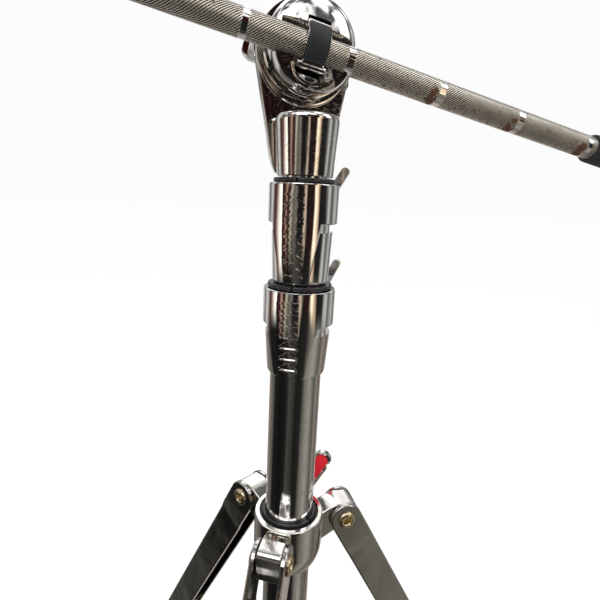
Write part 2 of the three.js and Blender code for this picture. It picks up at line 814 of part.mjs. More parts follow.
// The fixed half of the cymbal tilter: a socket on the rod's end and one ear.
function seatClamp() {
  const end = -BOOM.seatEnd;
  const sleeve = rodAlongX(9.4, end - 1, end + 24, 28);
  const knuckle = rodAlongY(11, 0.3, 9, 24).translate(end - 12, 0, 0);
  const neck = box([end - 12, end], [0.3, 9], [-7, 7]);
  const bore = rodAlongX(BOOM.radius + FIT, end - FIT, end + 30, 28);
  const axle = rodAlongY(3.3, -2, 12).translate(end - 12, 0, 0);
  return cut(union(sleeve, neck, knuckle), bore, axle);
}

// The turning half: an ear on the -Y side, a stem above it and a seat for the cup washer.
function seatKnuckle() {
  const disc = rodAlongY(11, -8.7, -0.3, 24);
  const stem = spindle([[6.5, 8], [6.5, 18], [8.5, 20], [8.5, 22.5]]);
  const web = box([-6, 6], [-8.7, -0.3], [0, 16]);
  const keep = rodAlongY(12, 0, 12, 24);
  const axle = rodAlongY(3.3, -12, 2);
  const bore = rod(SEAT.post + 0.15, 12, 30);
  return cut(union(disc, web, cut(stem, keep)), axle, bore);
}

function seatWingBolt() {
  const wing = { length: 19, root: 4, tip: 4.6, thick: 3, depth: 8, hub: 6.5 };
  return wingBolt(wing, 17.6, 3.1).rotate([0, 0, 180]).translate(0, -9, 0);
}

function seatParts() {
  const { post, felt, sleeve, washer } = SEAT;
  const wingNut = { length: 20, root: 5, tip: 5.5, thick: 3.4, depth: 13, hub: 8 };
  const nut = wings(wingNut).subtract(rodAlongY(post + FIT, -1, 20)).rotate([90, 0, 0]);
  const knee = [[felt - 2, 0], [felt, 2], [felt, 10], [felt - 2, 12]];
  const cup = [[9, 0], [washer, 1.6], [washer, 3], [sleeve + 3, 3]];
  return [
    part('seat_knuckle', 'chrome', seatKnuckle()),
    part('seat_wing_bolt', 'chrome', seatWingBolt()),
    part('seat_post', 'steel', rod(post, 12.4, 92)),
    part('seat_washer', 'chrome', ring(cup, post + FIT), [0, 0, 22.8]),
    part('lower_felt', 'felt', ring(knee, sleeve + FIT), [0, 0, 26.2]),
    part('seat_sleeve', 'nylon', ring([[sleeve, 0], [sleeve, 34]], post + FIT), [0, 0, 26.2]),
    part('upper_felt', 'felt', ring(knee, sleeve + FIT), [0, 0, 47.6]),
    part('seat_wing_nut', 'chrome', nut, [0, 0, 61]),
  ];
}

function boomGroup() {
  const seat = group(seatParts(), {
    at: [-BOOM.seatEnd - 12, 0, 0],
    turn: [0, -BOOM.tilt, 0],
  });
  return group(
    [
      part('boom_rod', 'steel', boomRod()),
      part('boom_end_cap', 'rubber', boomEndCap()),
      part('seat_clamp', 'chrome', seatClamp()),
      seat,
    ],
    { at: [0, BOOM.y, 0] },
  );
}

function tilterGroup() {
  return group(
    [
      part('tilter_head', 'chrome', tilterHead()),
      part('tilter_eye_bolt', 'chrome', eyeBolt()),
      part('tilter_eye_pad', 'pad', eyePad()),
      boomGroup(),
    ],
    { at: [0, 0, TILTER.z], turn: [0, BOOM.tilt, 0] },
  );
}

// ---------------------------------------------------------------- the stand

const AZIMUTHS = [0, 120, 240];

const stand = new THREE.Group();
stand.add(
  tube('base_tube', TUBE.base, BASE_TUBE),
  tubeEndPlug(),
  lowerBracket(),
  lowerBracketScrew(),
  legBracket(),
  bracketBushing(),
  bracketWingBolt(),
  ...AZIMUTHS.map((azimuth, i) => leg(i + 1, azimuth)),
  ...AZIMUTHS.map((azimuth, i) => bracePin(i + 1, azimuth)),
  collar('lower_collar', LOWER_COLLAR),
  collarBushing('lower_collar_bushing', LOWER_COLLAR),
  collarWingBolt('lower_collar_wing_bolt', LOWER_COLLAR),
  tube('mid_tube', TUBE.mid, MID_TUBE),
  collar('mid_collar', MID_COLLAR),
  collarBushing('mid_collar_bushing', MID_COLLAR),
  collarWingBolt('mid_collar_wing_bolt', MID_COLLAR),
  tube('top_tube', TUBE.top, TOP_TUBE),
  tilterSocket(),
  tilterSetScrew(),
  tilterRatchet(),
  tilterWasher(),
  tilterWingNut(),
  tilterGroup(),
);

export default stand;
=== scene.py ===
import json
import math

import bmesh
import bpy
from mathutils import Matrix, Vector

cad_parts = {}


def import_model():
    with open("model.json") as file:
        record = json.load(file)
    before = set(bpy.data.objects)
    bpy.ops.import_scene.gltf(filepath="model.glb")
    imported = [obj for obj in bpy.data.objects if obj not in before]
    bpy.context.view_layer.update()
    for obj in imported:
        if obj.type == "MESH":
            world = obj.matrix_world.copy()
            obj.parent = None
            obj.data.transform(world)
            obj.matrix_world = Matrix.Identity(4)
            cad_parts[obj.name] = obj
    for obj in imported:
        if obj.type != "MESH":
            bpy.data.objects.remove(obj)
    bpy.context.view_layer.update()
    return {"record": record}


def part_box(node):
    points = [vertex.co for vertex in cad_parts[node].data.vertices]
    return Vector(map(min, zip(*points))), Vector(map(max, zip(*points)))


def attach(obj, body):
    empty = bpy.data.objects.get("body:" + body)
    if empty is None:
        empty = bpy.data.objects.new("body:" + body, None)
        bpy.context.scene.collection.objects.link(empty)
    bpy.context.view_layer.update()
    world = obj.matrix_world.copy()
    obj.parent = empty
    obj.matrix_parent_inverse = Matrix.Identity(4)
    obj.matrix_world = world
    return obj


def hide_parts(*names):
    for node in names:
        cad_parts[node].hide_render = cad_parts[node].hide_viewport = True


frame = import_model()

# Lengths are in millimetres and angles in degrees, as in the CAD model. MM turns a length into
# metres. The stand's column is the Z axis, and its boom lies near the XZ plane.
MM = 0.001

TUBE_R = {"base": 14.3, "mid": 12.7, "top": 11.1}
TUBE_WALL = 1.2
FIT = 0.3  # the gap between a part and what it slides or turns on
FRONT, BACK = 240, 60  # azimuths of the collars' tongues, and of their wing bolts
THIRDS = (0, 120, 240)  # azimuths of the legs

# The two clamp collars. Heights: rim, step, slot, foot. Outer radii: wide, waist, bottom, and the
# slot's floor. Inner radii: bore, bushing, and the tube inside. wing is how far the bolt's boss
# and hub reach, and spin is the turn of its ears.
COLLARS = {
    "lower_collar": dict(rim=570.7, step=551.5, slot=546.8, foot=523.4, wide=19.25, waist=17.7,
                         bottom=16.2, floor=15.8, bore=14.6, bushing=16.4, inner=12.7, wing=29.5,
                         spin=26),
    "mid_collar": dict(rim=624.0, step=604.5, slot=600.3, foot=573.5, wide=17.95, waist=15.9,
                       bottom=14.9, floor=14.2, bore=13.0, bushing=14.9, inner=11.1, wing=24.4,
                       spin=31),
}
BOSS_BACK = 4.6  # from the reach of a collar's wing to the face of its boss
BOLT_DROP = 0.5  # the bolt's axis is this much below the step

TILT_Z = 684.5  # the height of the tilter's pivot
RISE = 2.5  # the plate's disc is this much above the pivot
PIVOT_HOLE = 4.2
BOOM_Y = -6.0
BOOM_TILT = 10.2
BOOM_R = 6.35
SEAT_END = 243.0  # from the tilter to the rod's cymbal end
TAIL = 190.0  # and to its other end
BAND_FIRST, BAND_PITCH, BAND_HALF = 17.0, 50.7, 1.9  # the polished bands along the rod
KNURL_COLUMNS = 58  # diamonds round the rod, and rows of them along it
KNURL_ROWS = 625
KNURL_STEP = (SEAT_END + TAIL) / KNURL_ROWS

LEG_R = 34.5
LEG_Z = 425.6
LEG_ANGLE = 28.7
LEG_LENGTH = 462.0
BRACE_AT = 214.0  # down the leg from its pivot, and the brace's own length
LEG_HOLE, BRACE_HOLE = 3.65, 2.75
BRACKET_RIM, BRACKET_BOLT_Z, BRACKET_FOOT = 432.0, 420.5, 398.0
LOWER_BRACKET_Z = 50

BODY_OF = {n: b for b, nodes in frame["record"]["behaviour"]["bodies"].items() for n in nodes}


# ---- mesh tools

def turn(axis, degrees):
    return Matrix.Rotation(math.radians(degrees), 4, axis)


def shift(x=0.0, y=0.0, z=0.0):
    return Matrix.Translation((x, y, z))


def from_bmesh(bm):
    bmesh.ops.recalc_face_normals(bm, faces=bm.faces)
    mesh = bpy.data.meshes.new("piece")
    bm.to_mesh(mesh)
    bm.free()
    return mesh


def skin_rings(rings, closed):
    """A mesh over rings of points; a ring of one point is a pole."""
    bm = bmesh.new()
    made = [[bm.verts.new(p) for p in ring] for ring in rings]
    pairs = list(zip(made, made[1:]))
    if closed:
        pairs.append((made[-1], made[0]))
    for a, b in pairs:
        count = max(len(a), len(b))
        for i in range(count):
            j = (i + 1) % count
            corners = [a[i % len(a)], a[j % len(a)], b[j % len(b)], b[i % len(b)]]
            unique = [v for k, v in enumerate(corners) if v not in corners[:k]]
            if len(unique) > 2:
                bm.faces.new(unique)
    return from_bmesh(bm)


def lathe(profile, sides=96):
    """Turns [radius, height] points about Z. A profile off the axis is closed on itself."""
    solid = profile[0][0] == 0 and profile[-1][0] == 0
    rings = []
    for r, z in profile:
        if r == 0:
            rings.append([(0, 0, z)])
        else:
            steps = [2 * math.pi * i / sides for i in range(sides)]
            rings.append([(r * math.cos(a), r * math.sin(a), z) for a in steps])
    return skin_rings(rings, closed=not solid)


def capped(outline, sides=96):
    """A solid of revolution from its outer [radius, height] points."""
    return lathe([(0, outline[0][1]), *outline, (0, outline[-1][1])], sides)


def washer(outline, bore, sides=96):
    """The same, with a round bore from end to end."""
    return lathe([(bore, outline[0][1]), *outline, (bore, outline[-1][1])], sides)


def prism(points, lo, hi, axis="Y"):
    """A flat outline with a thickness along Y or X. Points are (x, z) or (y, z)."""
    place = {"Y": lambda a, b, t: (a, t, b), "X": lambda a, b, t: (t, a, b)}[axis]
    bm = bmesh.new()
    low = [bm.verts.new(place(a, b, lo)) for a, b in points]
    high = [bm.verts.new(place(a, b, hi)) for a, b in points]
    bm.faces.new(low)
    bm.faces.new(high)
    for i in range(len(points)):
        j = (i + 1) % len(points)
        bm.faces.new((low[i], low[j], high[j], high[i]))
    return from_bmesh(bm)


def block(x, y, z):
    """A box from its low and high x, y and z, used as a tool or as a rough body."""
    return prism([(x[0], z[0]), (x[1], z[0]), (x[1], z[1]), (x[0], z[1])], *y)


def arc(cx, cz, r, start, end, steps=12):
    angles = [math.radians(start + (end - start) * i / steps) for i in range(steps + 1)]
    return [(cx + r * math.cos(a), cz + r * math.sin(a)) for a in angles]


def pin(radius, lo, hi, axis="Y", sides=64):
    mesh = capped([(radius, lo), (radius, hi)], sides)
    return moved(mesh, {"Y": turn("X", -90), "X": turn("Y", 90)}[axis])


def moved(mesh, matrix):
    made = mesh.copy()
    made.transform(matrix)
    return made


def about_y(outline, sides=96):
    """A spindle about Y from [radius, y] points."""
    return moved(capped(outline, sides), turn("X", -90))


def evaluated(mesh, set_up):
    """The mesh after the modifiers that set_up puts on an object that holds it."""
    holder = bpy.data.objects.new("holder", mesh)
    bpy.context.scene.collection.objects.link(holder)
    helpers = set_up(holder)
    bpy.context.view_layer.update()
    graph = bpy.context.evaluated_depsgraph_get()
    made = bpy.data.meshes.new_from_object(holder.evaluated_get(graph))
    for o in (holder, *helpers):
        bpy.data.objects.remove(o)
    return made


def combine(mesh, operation, tools):
    def set_up(holder):
        helpers = []
        for tool in tools:
            other = bpy.data.objects.new("tool", tool)
            bpy.context.scene.collection.objects.link(other)
            step = holder.modifiers.new("step", "BOOLEAN")
            step.operation = operation
            step.solver = "MANIFOLD"
            step.object = other
            helpers.append(other)
        return helpers
    return evaluated(mesh, set_up)


def union(first, *others):
    return combine(first, "UNION", others)


def cut(mesh, *tools):
    return combine(mesh, "DIFFERENCE", tools)


def common(mesh, *tools):
    return combine(mesh, "INTERSECT", tools)


def cleaned(mesh):
    """Merges the slivers that a boolean leaves."""
    bm = bmesh.new()
    bm.from_mesh(mesh)
    bmesh.ops.remove_doubles(bm, verts=bm.verts, dist=0.004)
    bmesh.ops.dissolve_degenerate(bm, dist=0.002, edges=bm.edges)
    bmesh.ops.dissolve_limit(bm, angle_limit=math.radians(0.6), verts=bm.verts, edges=bm.edges)
    clean = bpy.data.meshes.new("clean")
    bm.to_mesh(clean)
    bm.free()
    return clean


def bevelled(mesh, width, segments=2, angle=32):
    """Rounds every edge that is sharper than the angle."""
    def set_up(holder):
        step = holder.modifiers.new("bevel", "BEVEL")
        step.width = width
        step.segments = segments
        step.limit_method = "ANGLE"
        step.angle_limit = math.radians(angle)
        step.use_clamp_overlap = True
        step.miter_outer = "MITER_ARC"
        return []
    return evaluated(cleaned(mesh), set_up)


def add(node, mesh, material, matrix=Matrix(), sharp=38, weighted=True):
    """Places a finished mesh as the visible piece for a CAD node, on that node's body."""
    made = moved(mesh, Matrix.Scale(MM, 4) @ matrix)
    made.shade_smooth()
    made.set_sharp_from_angle(angle=math.radians(sharp))
    if isinstance(material, bpy.types.Material):
        made.materials.clear()  # a boolean leaves empty slots
        material = [material]
    for m in material:
        made.materials.append(m)
    piece = bpy.data.objects.new(node + "_detail", made)
    bpy.context.scene.collection.objects.link(piece)
    if weighted:
        step = piece.modifiers.new("normals", "WEIGHTED_NORMAL")
        step.keep_sharp = True
    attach(piece, BODY_OF[node])
    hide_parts(node)
    return piece


# ---- material tools

class Nodes:
    """A small helper over a node tree."""

    def __init__(self, tree):
        self.tree = tree

    def feed(self, socket, value):
        if isinstance(value, bpy.types.NodeSocket):
            self.tree.links.new(value, socket)
        else:
            socket.default_value = value

    def node(self, kind, inputs=(), **settings):
        made = self.tree.nodes.new(kind)
        for key, value in settings.items():
            setattr(made, key, value)
        for socket, value in dict(inputs).items():
            self.feed(made.inputs[socket], value)
        return made

    def noise(self, vector, scale, detail=4.0, roughness=0.55, distortion=0.0):
        return self.node("ShaderNodeTexNoise", {
            "Vector": vector, "Scale": scale, "Detail": detail, "Roughness": roughness,
            "Distortion": distortion}).outputs["Fac"]

    def ramp(self, value, stops):
        """Each stop is a position, and a colour or a shade of grey."""
        made = self.node("ShaderNodeValToRGB", {"Fac": value})
        line = made.color_ramp
        while len(line.elements) < len(stops):
            line.elements.new(0.5)
        for element, (position, colour) in zip(line.elements, stops):
            element.position = position
            shade = colour[:3] if isinstance(colour, tuple) else (colour,) * 3
            element.color = rgb(*shade)
        return made.outputs["Color"]

    def fade(self, value, low, high):
        """0 up to low, then rising to 1 at high."""
        return self.ramp(value, [(low, 0.0), (high, 1.0)])

    def mix(self, factor, a, b):
        made = self.node("ShaderNodeMix", data_type="RGBA")
        for index, value in ((0, factor), (6, a), (7, b)):  # the colour sockets of a Mix node
            self.feed(made.inputs[index], value)
        return made.outputs[2]

    def math(self, operation, a, b=0.0):
        return self.node("ShaderNodeMath", {0: a, 1: b}, operation=operation).outputs[0]

    def plus(self, base, extra, share):
        """The base and a share of something extra."""
        return self.math("ADD", base, self.math("MULTIPLY", extra, share))


class Surface(Nodes):
    """A new material and its Principled shader."""

    def __init__(self, name):
        self.material = bpy.data.materials.new(name)
        self.material.use_nodes = True
        super().__init__(self.material.node_tree)
        self.shader = self.tree.nodes["Principled BSDF"]

    def plug(self, **sources):
        """Sets the shader's sockets, or links nodes to them. Keys have _ for a space."""
        for key, source in sources.items():
            self.feed(self.shader.inputs[key.replace("_", " ")], source)
        return self

    def place(self, scale=(1, 1, 1), rotation=(0, 0, 0)):
        coordinates = self.node("ShaderNodeTexCoord").outputs["Object"]
        return self.node("ShaderNodeMapping", {
            "Vector": coordinates, "Scale": scale, "Rotation": rotation}).outputs["Vector"]

    def edges(self, low, high):
        """The worn outer edges of the shape."""
        return self.fade(self.node("ShaderNodeNewGeometry").outputs["Pointiness"], low, high)

    def bump(self, height, strength, distance, below=None):
        inputs = {"Height": height, "Strength": strength, "Distance": distance}
        if below is not None:
            inputs["Normal"] = below
        return self.node("ShaderNodeBump", inputs).outputs["Normal"]


def rgb(r, g, b):
    return (r, g, b, 1.0)


def chrome(name, tone, smooth, haze, scuff=0.25, cast=0.0, speck=0.0, wave=0.0):
    """Bright plating: faint haze, hairlines, worn edges, pits, and casting skin if asked."""
    n = Surface(name).plug(Metallic=1.0)
    at = n.place()
    patches = n.fade(n.noise(at, 38.0, 5.0), 0.45, 0.7)
    fine = n.noise(at, 700.0, 2.0)
    hair_a = n.noise(n.place((1500, 1500, 25)), 1.0, 2.0)
    hair_b = n.noise(n.place((40, 1200, 1300), (0.4, 0.9, 0.2)), 1.0, 2.0)
    hair = n.fade(n.math("MAXIMUM", hair_a, hair_b), 0.64, 0.74)
    edge = n.edges(0.5, 0.56)
    worn = n.math("MULTIPLY", edge, n.fade(fine, 0.45, 0.62))
    dark = tuple(c * 0.9 for c in tone[:3]) + (1.0,)
    colour = n.mix(patches, tone, dark)
    colour = n.mix(n.math("MULTIPLY", worn, 0.35), colour, rgb(0.60, 0.52, 0.42))
    rough = n.plus(smooth, patches, haze)
    rough = n.plus(rough, hair, scuff * 0.2)
    rough = n.plus(rough, worn, 0.12)
    if speck:
        grains = n.fade(n.noise(at, 480.0, 2.0), 0.70, 0.73)
        zone = n.fade(n.noise(at, 55.0, 2.0), 0.52, 0.62)
        rust = n.math("MULTIPLY", n.math("MULTIPLY", grains, zone), speck)
        colour = n.mix(rust, colour, rgb(0.20, 0.10, 0.05))
        rough = n.plus(rough, rust, 0.5)
    normal = n.bump(hair, 0.05 * scuff, 0.00002)
    normal = n.bump(n.noise(at, 90.0, 2.0), 0.012 + cast * 0.2, 0.0005, normal)
    if wave:
        normal = n.bump(n.noise(at, 24.0, 2.0, 0.5, 0.6), wave, 0.004, normal)
    if cast > 0.2:
        normal = n.bump(n.noise(at, 420.0, 3.0), cast * 0.35, 0.0002, normal)
    n.plug(Base_Color=colour, Roughness=rough, Normal=normal)
    return n.material


def plain_metal(name, tone, dark, rough):
    n = Surface(name).plug(Metallic=1.0)
    at = n.place()
    cloud = n.noise(at, 90.0, 4.0)
    grain = n.noise(n.place((900, 900, 80)), 1.0, 3.0)
    colour = n.mix(n.fade(cloud, 0.4, 0.7), tone, dark)
    roughness = n.plus(rough, grain, 0.22)
    n.plug(Base_Color=colour, Roughness=roughness, Normal=n.bump(grain, 0.15, 0.0001))
    return n.material


def moulded(name, tone, light, rough, grain_scale=1400.0, bump=0.25, dusty=0.3):
    """Moulded plastic or rubber: fine grain, handling marks and dust on raised edges."""
    n = Surface(name).plug(Specular_IOR_Level=0.4)
    at = n.place()
    grain = n.noise(at, grain_scale, 3.0)
    marks = n.fade(n.noise(n.place((500, 90, 500), (0.3, 0.2, 0.5)), 1.0, 5.0), 0.6, 0.72)
    dust = n.fade(n.noise(at, 160.0, 5.0), 0.5, 0.75)
    edge = n.edges(0.51, 0.58)
    pale = n.math("MAXIMUM", marks, n.math("MAXIMUM", n.math("MULTIPLY", dust, 0.6), edge))
    colour = n.mix(n.math("MULTIPLY", pale, dusty), tone, light)
    roughness = n.plus(rough, grain, 0.2)
    n.plug(Base_Color=colour, Roughness=roughness, Normal=n.bump(grain, bump, 0.0001))
    return n.material


def knurled_steel():
    """Dull plating on the knurl: painted shade along helical grooves between bright crests, and
    brown rust.
    """
    n = Surface("knurled steel").plug(Specular_IOR_Level=0.15)
    at = n.place()
    local = n.place((1, 1, 1), (0, math.radians(-BOOM_TILT), 0))
    centre = Matrix.Rotation(math.radians(-BOOM_TILT), 3, "Y") @ Vector((0, BOOM_Y, TILT_Z)) * MM
    split = n.node("ShaderNodeSeparateXYZ", {"Vector": local})
    y = n.math("SUBTRACT", split.outputs["Y"], centre.y)
    z = n.math("SUBTRACT", split.outputs["Z"], centre.z)
    x = n.math("ADD", split.outputs["X"], SEAT_END * MM - centre.x)
    turns = n.math("MULTIPLY", n.math("ARCTAN2", z, y), KNURL_COLUMNS / 2)
    phase = n.plus(turns, x, math.pi / (KNURL_STEP * MM))
    helix = n.math("ADD", n.math("MULTIPLY", n.math("COSINE", phase), 0.5), 0.5)
    crest = n.node("ShaderNodeAttribute", attribute_name="crest").outputs["Fac"]
    height = n.plus(n.math("MULTIPLY", helix, 0.6), crest, 0.4)
    cloud = n.noise(at, 60.0, 5.0)
    tone = n.mix(n.fade(cloud, 0.38, 0.66), rgb(1.0, 0.96, 0.87), rgb(0.86, 0.81, 0.71))
    # Painted shade: where the helical pattern is low, the tone darkens to near black along the
    # grooves.
    tone = n.mix(n.ramp(height, [(0.25, 1.0), (0.60, 0.0)]), tone, rgb(0.07, 0.055, 0.035))
    likely = n.node("ShaderNodeAttribute", attribute_name="rust").outputs["Fac"]
    blots = n.plus(n.noise(at, 330.0, 5.0, 0.75), likely, 0.19)
    spots = n.plus(n.noise(at, 700.0, 3.0, 0.7), likely, 0.13)
    rust = n.math("MAXIMUM", n.fade(blots, 0.635, 0.66), n.fade(spots, 0.645, 0.67))
    brown = n.mix(n.noise(at, 1100.0, 3.0), rgb(0.018, 0.007, 0.003), rgb(0.13, 0.048, 0.014))
    colour = n.mix(n.math("MULTIPLY", rust, 0.97), tone, brown)
    rough = n.plus(0.20, cloud, 0.12)
    rough = n.plus(rough, rust, 0.35)
    normal = n.bump(helix, 0.5, 0.0002, n.bump(n.noise(at, 2200.0, 2.0), 0.15, 0.00006))
    n.plug(Base_Color=colour, Roughness=rough, Normal=normal,
           Metallic=n.math("SUBTRACT", 0.92, n.math("MULTIPLY", rust, 0.75)))
    return n.material


def felt_material():
    n = Surface("pressed felt").plug(Sheen_Weight=0.5, Sheen_Roughness=0.6)
    at = n.place()
    fibres = n.noise(n.place((700, 2400, 1500), (0.5, 0.2, 0.9)), 1.0, 6.0, 0.75, 1.5)
    clumps = n.noise(at, 220.0, 5.0, 0.7)
    colour = n.mix(n.fade(fibres, 0.35, 0.68), rgb(0.16, 0.155, 0.145), rgb(0.42, 0.405, 0.38))
    colour = n.mix(n.ramp(clumps, [(0.5, 0.0), (0.75, 0.7)]), colour, rgb(0.10, 0.095, 0.09))
    rough = n.plus(0.8, fibres, 0.2)
    normal = n.bump(fibres, 0.8, 0.0004, n.bump(clumps, 0.5, 0.0006))
    n.plug(Base_Color=colour, Roughness=rough, Normal=normal)
    return n.material


TUBE_CHROME = chrome("tube chrome", rgb(0.84, 0.845, 0.85), 0.02, 0.03, 0.15)
COLLAR_CHROME = chrome("collar chrome", rgb(0.90, 0.89, 0.88), 0.02, 0.03, 0.15, 0.05, 0.3)
TILTER_CHROME = chrome("tilter chrome", rgb(0.88, 0.875, 0.87), 0.02, 0.04, 0.2, 0.06, 0.25)
LEVER_CHROME = chrome("lever chrome", rgb(0.95, 0.94, 0.93), 0.17, 0.06, 0.3, 0.1, 0.3)
CAST_CHROME = chrome("cast chrome", rgb(0.86, 0.845, 0.80), 0.07, 0.12, 0.3, 0.4, 0.6)
LEG_CHROME = chrome("leg chrome", rgb(0.58, 0.575, 0.56), 0.05, 0.14, 1.2, 0.06, 0.3, 0.24)
BAND_CHROME = chrome("band chrome", rgb(0.88, 0.87, 0.86), 0.03, 0.05, 0.3, 0.0, 0.6)
KNURL = knurled_steel()
ZINC = plain_metal("zinc plate", rgb(0.62, 0.62, 0.62), rgb(0.42, 0.41, 0.40), 0.22)
RIVET = plain_metal("rivet plate", rgb(0.86, 0.74, 0.50), rgb(0.60, 0.48, 0.30), 0.12)
NYLON = moulded("dark nylon", rgb(0.012, 0.012, 0.013), rgb(0.10, 0.10, 0.10), 0.10, dusty=0.2)
PAD = moulded("black pad", rgb(0.006, 0.008, 0.010), rgb(0.08, 0.09, 0.095), 0.42, 900.0, 0.35)
RED = moulded("red insert", rgb(0.90, 0.003, 0.025), rgb(0.85, 0.10, 0.12), 0.25, 1100.0, 0.12)
RUBBER = moulded("black rubber", rgb(0.012, 0.012, 0.013), rgb(0.07, 0.068, 0.065), 0.5, 1000.0,
                 0.5)
FELT = felt_material()


# ---- tubes

def span(node):
    """A node's lowest and highest z."""
    low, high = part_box(node)
    return low.z / MM, high.z / MM


for size, r in TUBE_R.items():
    lo, hi = span(size + "_tube")
    profile = [(r - 0.35, lo), (r, lo + 0.35), (r, hi - 0.35), (r - 0.35, hi)]
    add(size + "_tube", washer(profile, r - TUBE_WALL, 128), TUBE_CHROME, sharp=50)

plug_top = span("base_tube")[0]
add("tube_end_plug", capped([
    (7, plug_top - 5), (9.6, plug_top - 4.9), (12.4, plug_top - 4.3), (13.8, plug_top - 3.3),
    (14.3, plug_top - 2), (14.3, plug_top - 0.6), (14, plug_top - 0.3), (12.8, plug_top - 0.3),
    (12.6, plug_top + 6), (12.2, plug_top + 14)]), RUBBER)


# ---- clamp collars

def collar_tongue(c):
    """The tapered rib down the front of a collar, over its slot."""
    wide, foot, top = c["wide"], c["foot"], c["step"] + 1
    barrel = washer([(c["bottom"] + 0.5, foot + 1.2), (wide, c["slot"]), (wide, top)], c["bore"])
    low, high = (wide * math.sin(math.radians(a)) for a in (25, 44))
    sides = prism([(-low, foot), (low, foot), (high, top), (-high, top)], 0, wide + 1, "X")
    return common(barrel, sides)


def strap(start, end, width, reach):
    """A straight bar in the YZ plane, as long as the line from start to end."""
    along = Vector((end[0] - start[0], end[1] - start[1])).normalized() * 0.2
    side = Vector((-along.y, along.x)).normalized() * (width / 2)
    a, b = Vector(start) - along, Vector(end) + along
    return prism([a + side, a - side, b - side, b + side], *reach, "X")


def collar_relief(c):
    """A generic raised pattern down the tongue: chevrons between the rungs of a ladder."""
    low, high = c["foot"] + 4.5, c["rim"] - 5.5
    half, count, proud = 4.7, 6, 1.1
    reach = (0, c["wide"] + 2)
    pitch = (high - low) / count
    bars = []
    for i in range(count + 1):
        z = low + pitch * i
        bars.append(strap((-half, z), (half, z), 1.25, reach))
        if i < count:
            middle, top = z + pitch * 0.25, z + pitch * 0.78
            bars += [strap((-half, middle), (0, top), 1.15, reach),
                     strap((half, middle), (0, top), 1.15, reach)]
    skin = washer([(c["bottom"] + 0.5 + proud, c["foot"] + 1.2), (c["wide"] + proud, c["slot"]),
                   (c["wide"] + proud, c["rim"] - 2)], c["bushing"] + 0.9)
    return common(cleaned(union(*bars)), skin)


def collar(node, c):
    foot, slot, step, rim = c["foot"], c["slot"], c["step"], c["rim"]
    bottom, floor, wide, bore = c["bottom"], c["floor"], c["wide"], c["bore"]
    outline = [(bottom - 1.1, foot), (bottom - 0.3, foot + 0.7), (bottom, foot + 2),
               (c["waist"], slot), (floor, slot), (floor, step), (wide - 0.4, step),
               (wide, step + 0.5), (wide, rim - 0.9), (wide - 0.25, rim - 0.3),
               (wide - 0.8, rim)]
    at_bolt = shift(z=step - BOLT_DROP)
    boss = pin(7, -(c["wing"] - BOSS_BACK), -(bore + 0.4), "X")
    body = union(washer(outline, bore), collar_tongue(c), collar_relief(c), moved(boss, at_bolt))
    made = cut(body, moved(pin(3.1, -(c["wing"] + 2), -(c["bushing"] + 0.5), "X"), at_bolt),
               capped([(c["bushing"], step), (c["bushing"], rim + 1)]),
               capped([(bore, foot - 1), (bore, rim)]))
    add(node, bevelled(made, 0.36, 3), COLLAR_CHROME, turn("Z", FRONT))


def slit(low, high):
    """The cut through one side of a clamp bushing."""
    return block((0, 30), (-0.5, 0.5), (low, high + 10))


def collar_bushing(node, c):
    lip = c["rim"] + 0.3
    wide = c["wide"]
    outer = c["bushing"] - FIT
    ring = washer([(outer, c["step"] + 0.5), (outer, lip), (wide - 2.7, lip),
                   (wide - 2.2, lip + 0.2), (wide - 2.0, lip + 0.7), (wide - 2.05, lip + 1.5),
                   (wide - 2.35, lip + 2.0), (wide - 2.9, lip + 2.2)], c["inner"] + FIT)
    made = cut(ring, slit(c["foot"], c["rim"]))
    add(node, bevelled(made, 0.12), NYLON, turn("Z", FRONT))


for node, c in COLLARS.items():
    collar(node, c)
    collar_bushing(node + "_bushing", c)


# ---- wing bolts and nuts

def ear(length, root, tip):
    """The outline of one ear, which widens or narrows from root to tip."""
    return [(-root, 0), *arc(0, length - tip, tip, 180, 0, 14), (root, 0)]


def wings(length, root, tip, thick, depth, hub, bevel=0.6):
    """Two rounded ears and a hub about Y, with a shallow recess in the face of each ear."""
    y0, y1 = depth - thick - 0.6, depth - 0.6
    up = prism(ear(length, root, tip), y0, y1)
    down = moved(up, turn("Y", 180))
    centre = about_y([(hub, 0), (hub, depth - 1.2), (hub - 0.4, depth - 0.4),
                      (hub - 1.2, depth)], 48)
    body = bevelled(union(up, down, centre), bevel, 3, 40)
    rim = 0.9
    grooves, dimples = [], []
    for lo, hi in ((y0 - 1, y0 + 0.6), (y1 - 0.6, y1 + 1)):
        groove = prism(ear(length - rim, root * 0.4, tip - rim), lo, hi)
        groove = cut(groove, pin(hub + 1.5, 0, depth + 2))
        grooves += [groove, moved(groove, turn("Y", 180))]
    for side in (1, -1):
        dimple = pin(tip * 0.42, y0 + 0.2, y1 - 0.2, sides=24)
        dimples.append(moved(dimple, shift(z=side * (length - tip))))
    return union(cut(body, *grooves), *dimples)


def at_back(radius, z, spin):
    """A wing bolt's place behind the column, with its ears turned by spin."""
    return turn("Z", BACK - 90) @ shift(0, radius, z) @ turn("Y", spin)


COLLAR_WING = dict(length=35, root=2.8, tip=2.3, thick=4.2, depth=7.6, hub=6)
BRACKET_WING = dict(length=36, root=4.8, tip=5.9, thick=3.4, depth=10, hub=7)

for node, c in COLLARS.items():
    face = c["wing"] - BOSS_BACK + FIT
    shank = pin(2.9, -(face - c["bushing"] - 1.2), 1, sides=32)
    add(node + "_wing_bolt", union(wings(**COLLAR_WING), shank), LEVER_CHROME,
        at_back(face, c["step"] - BOLT_DROP, c["spin"]))


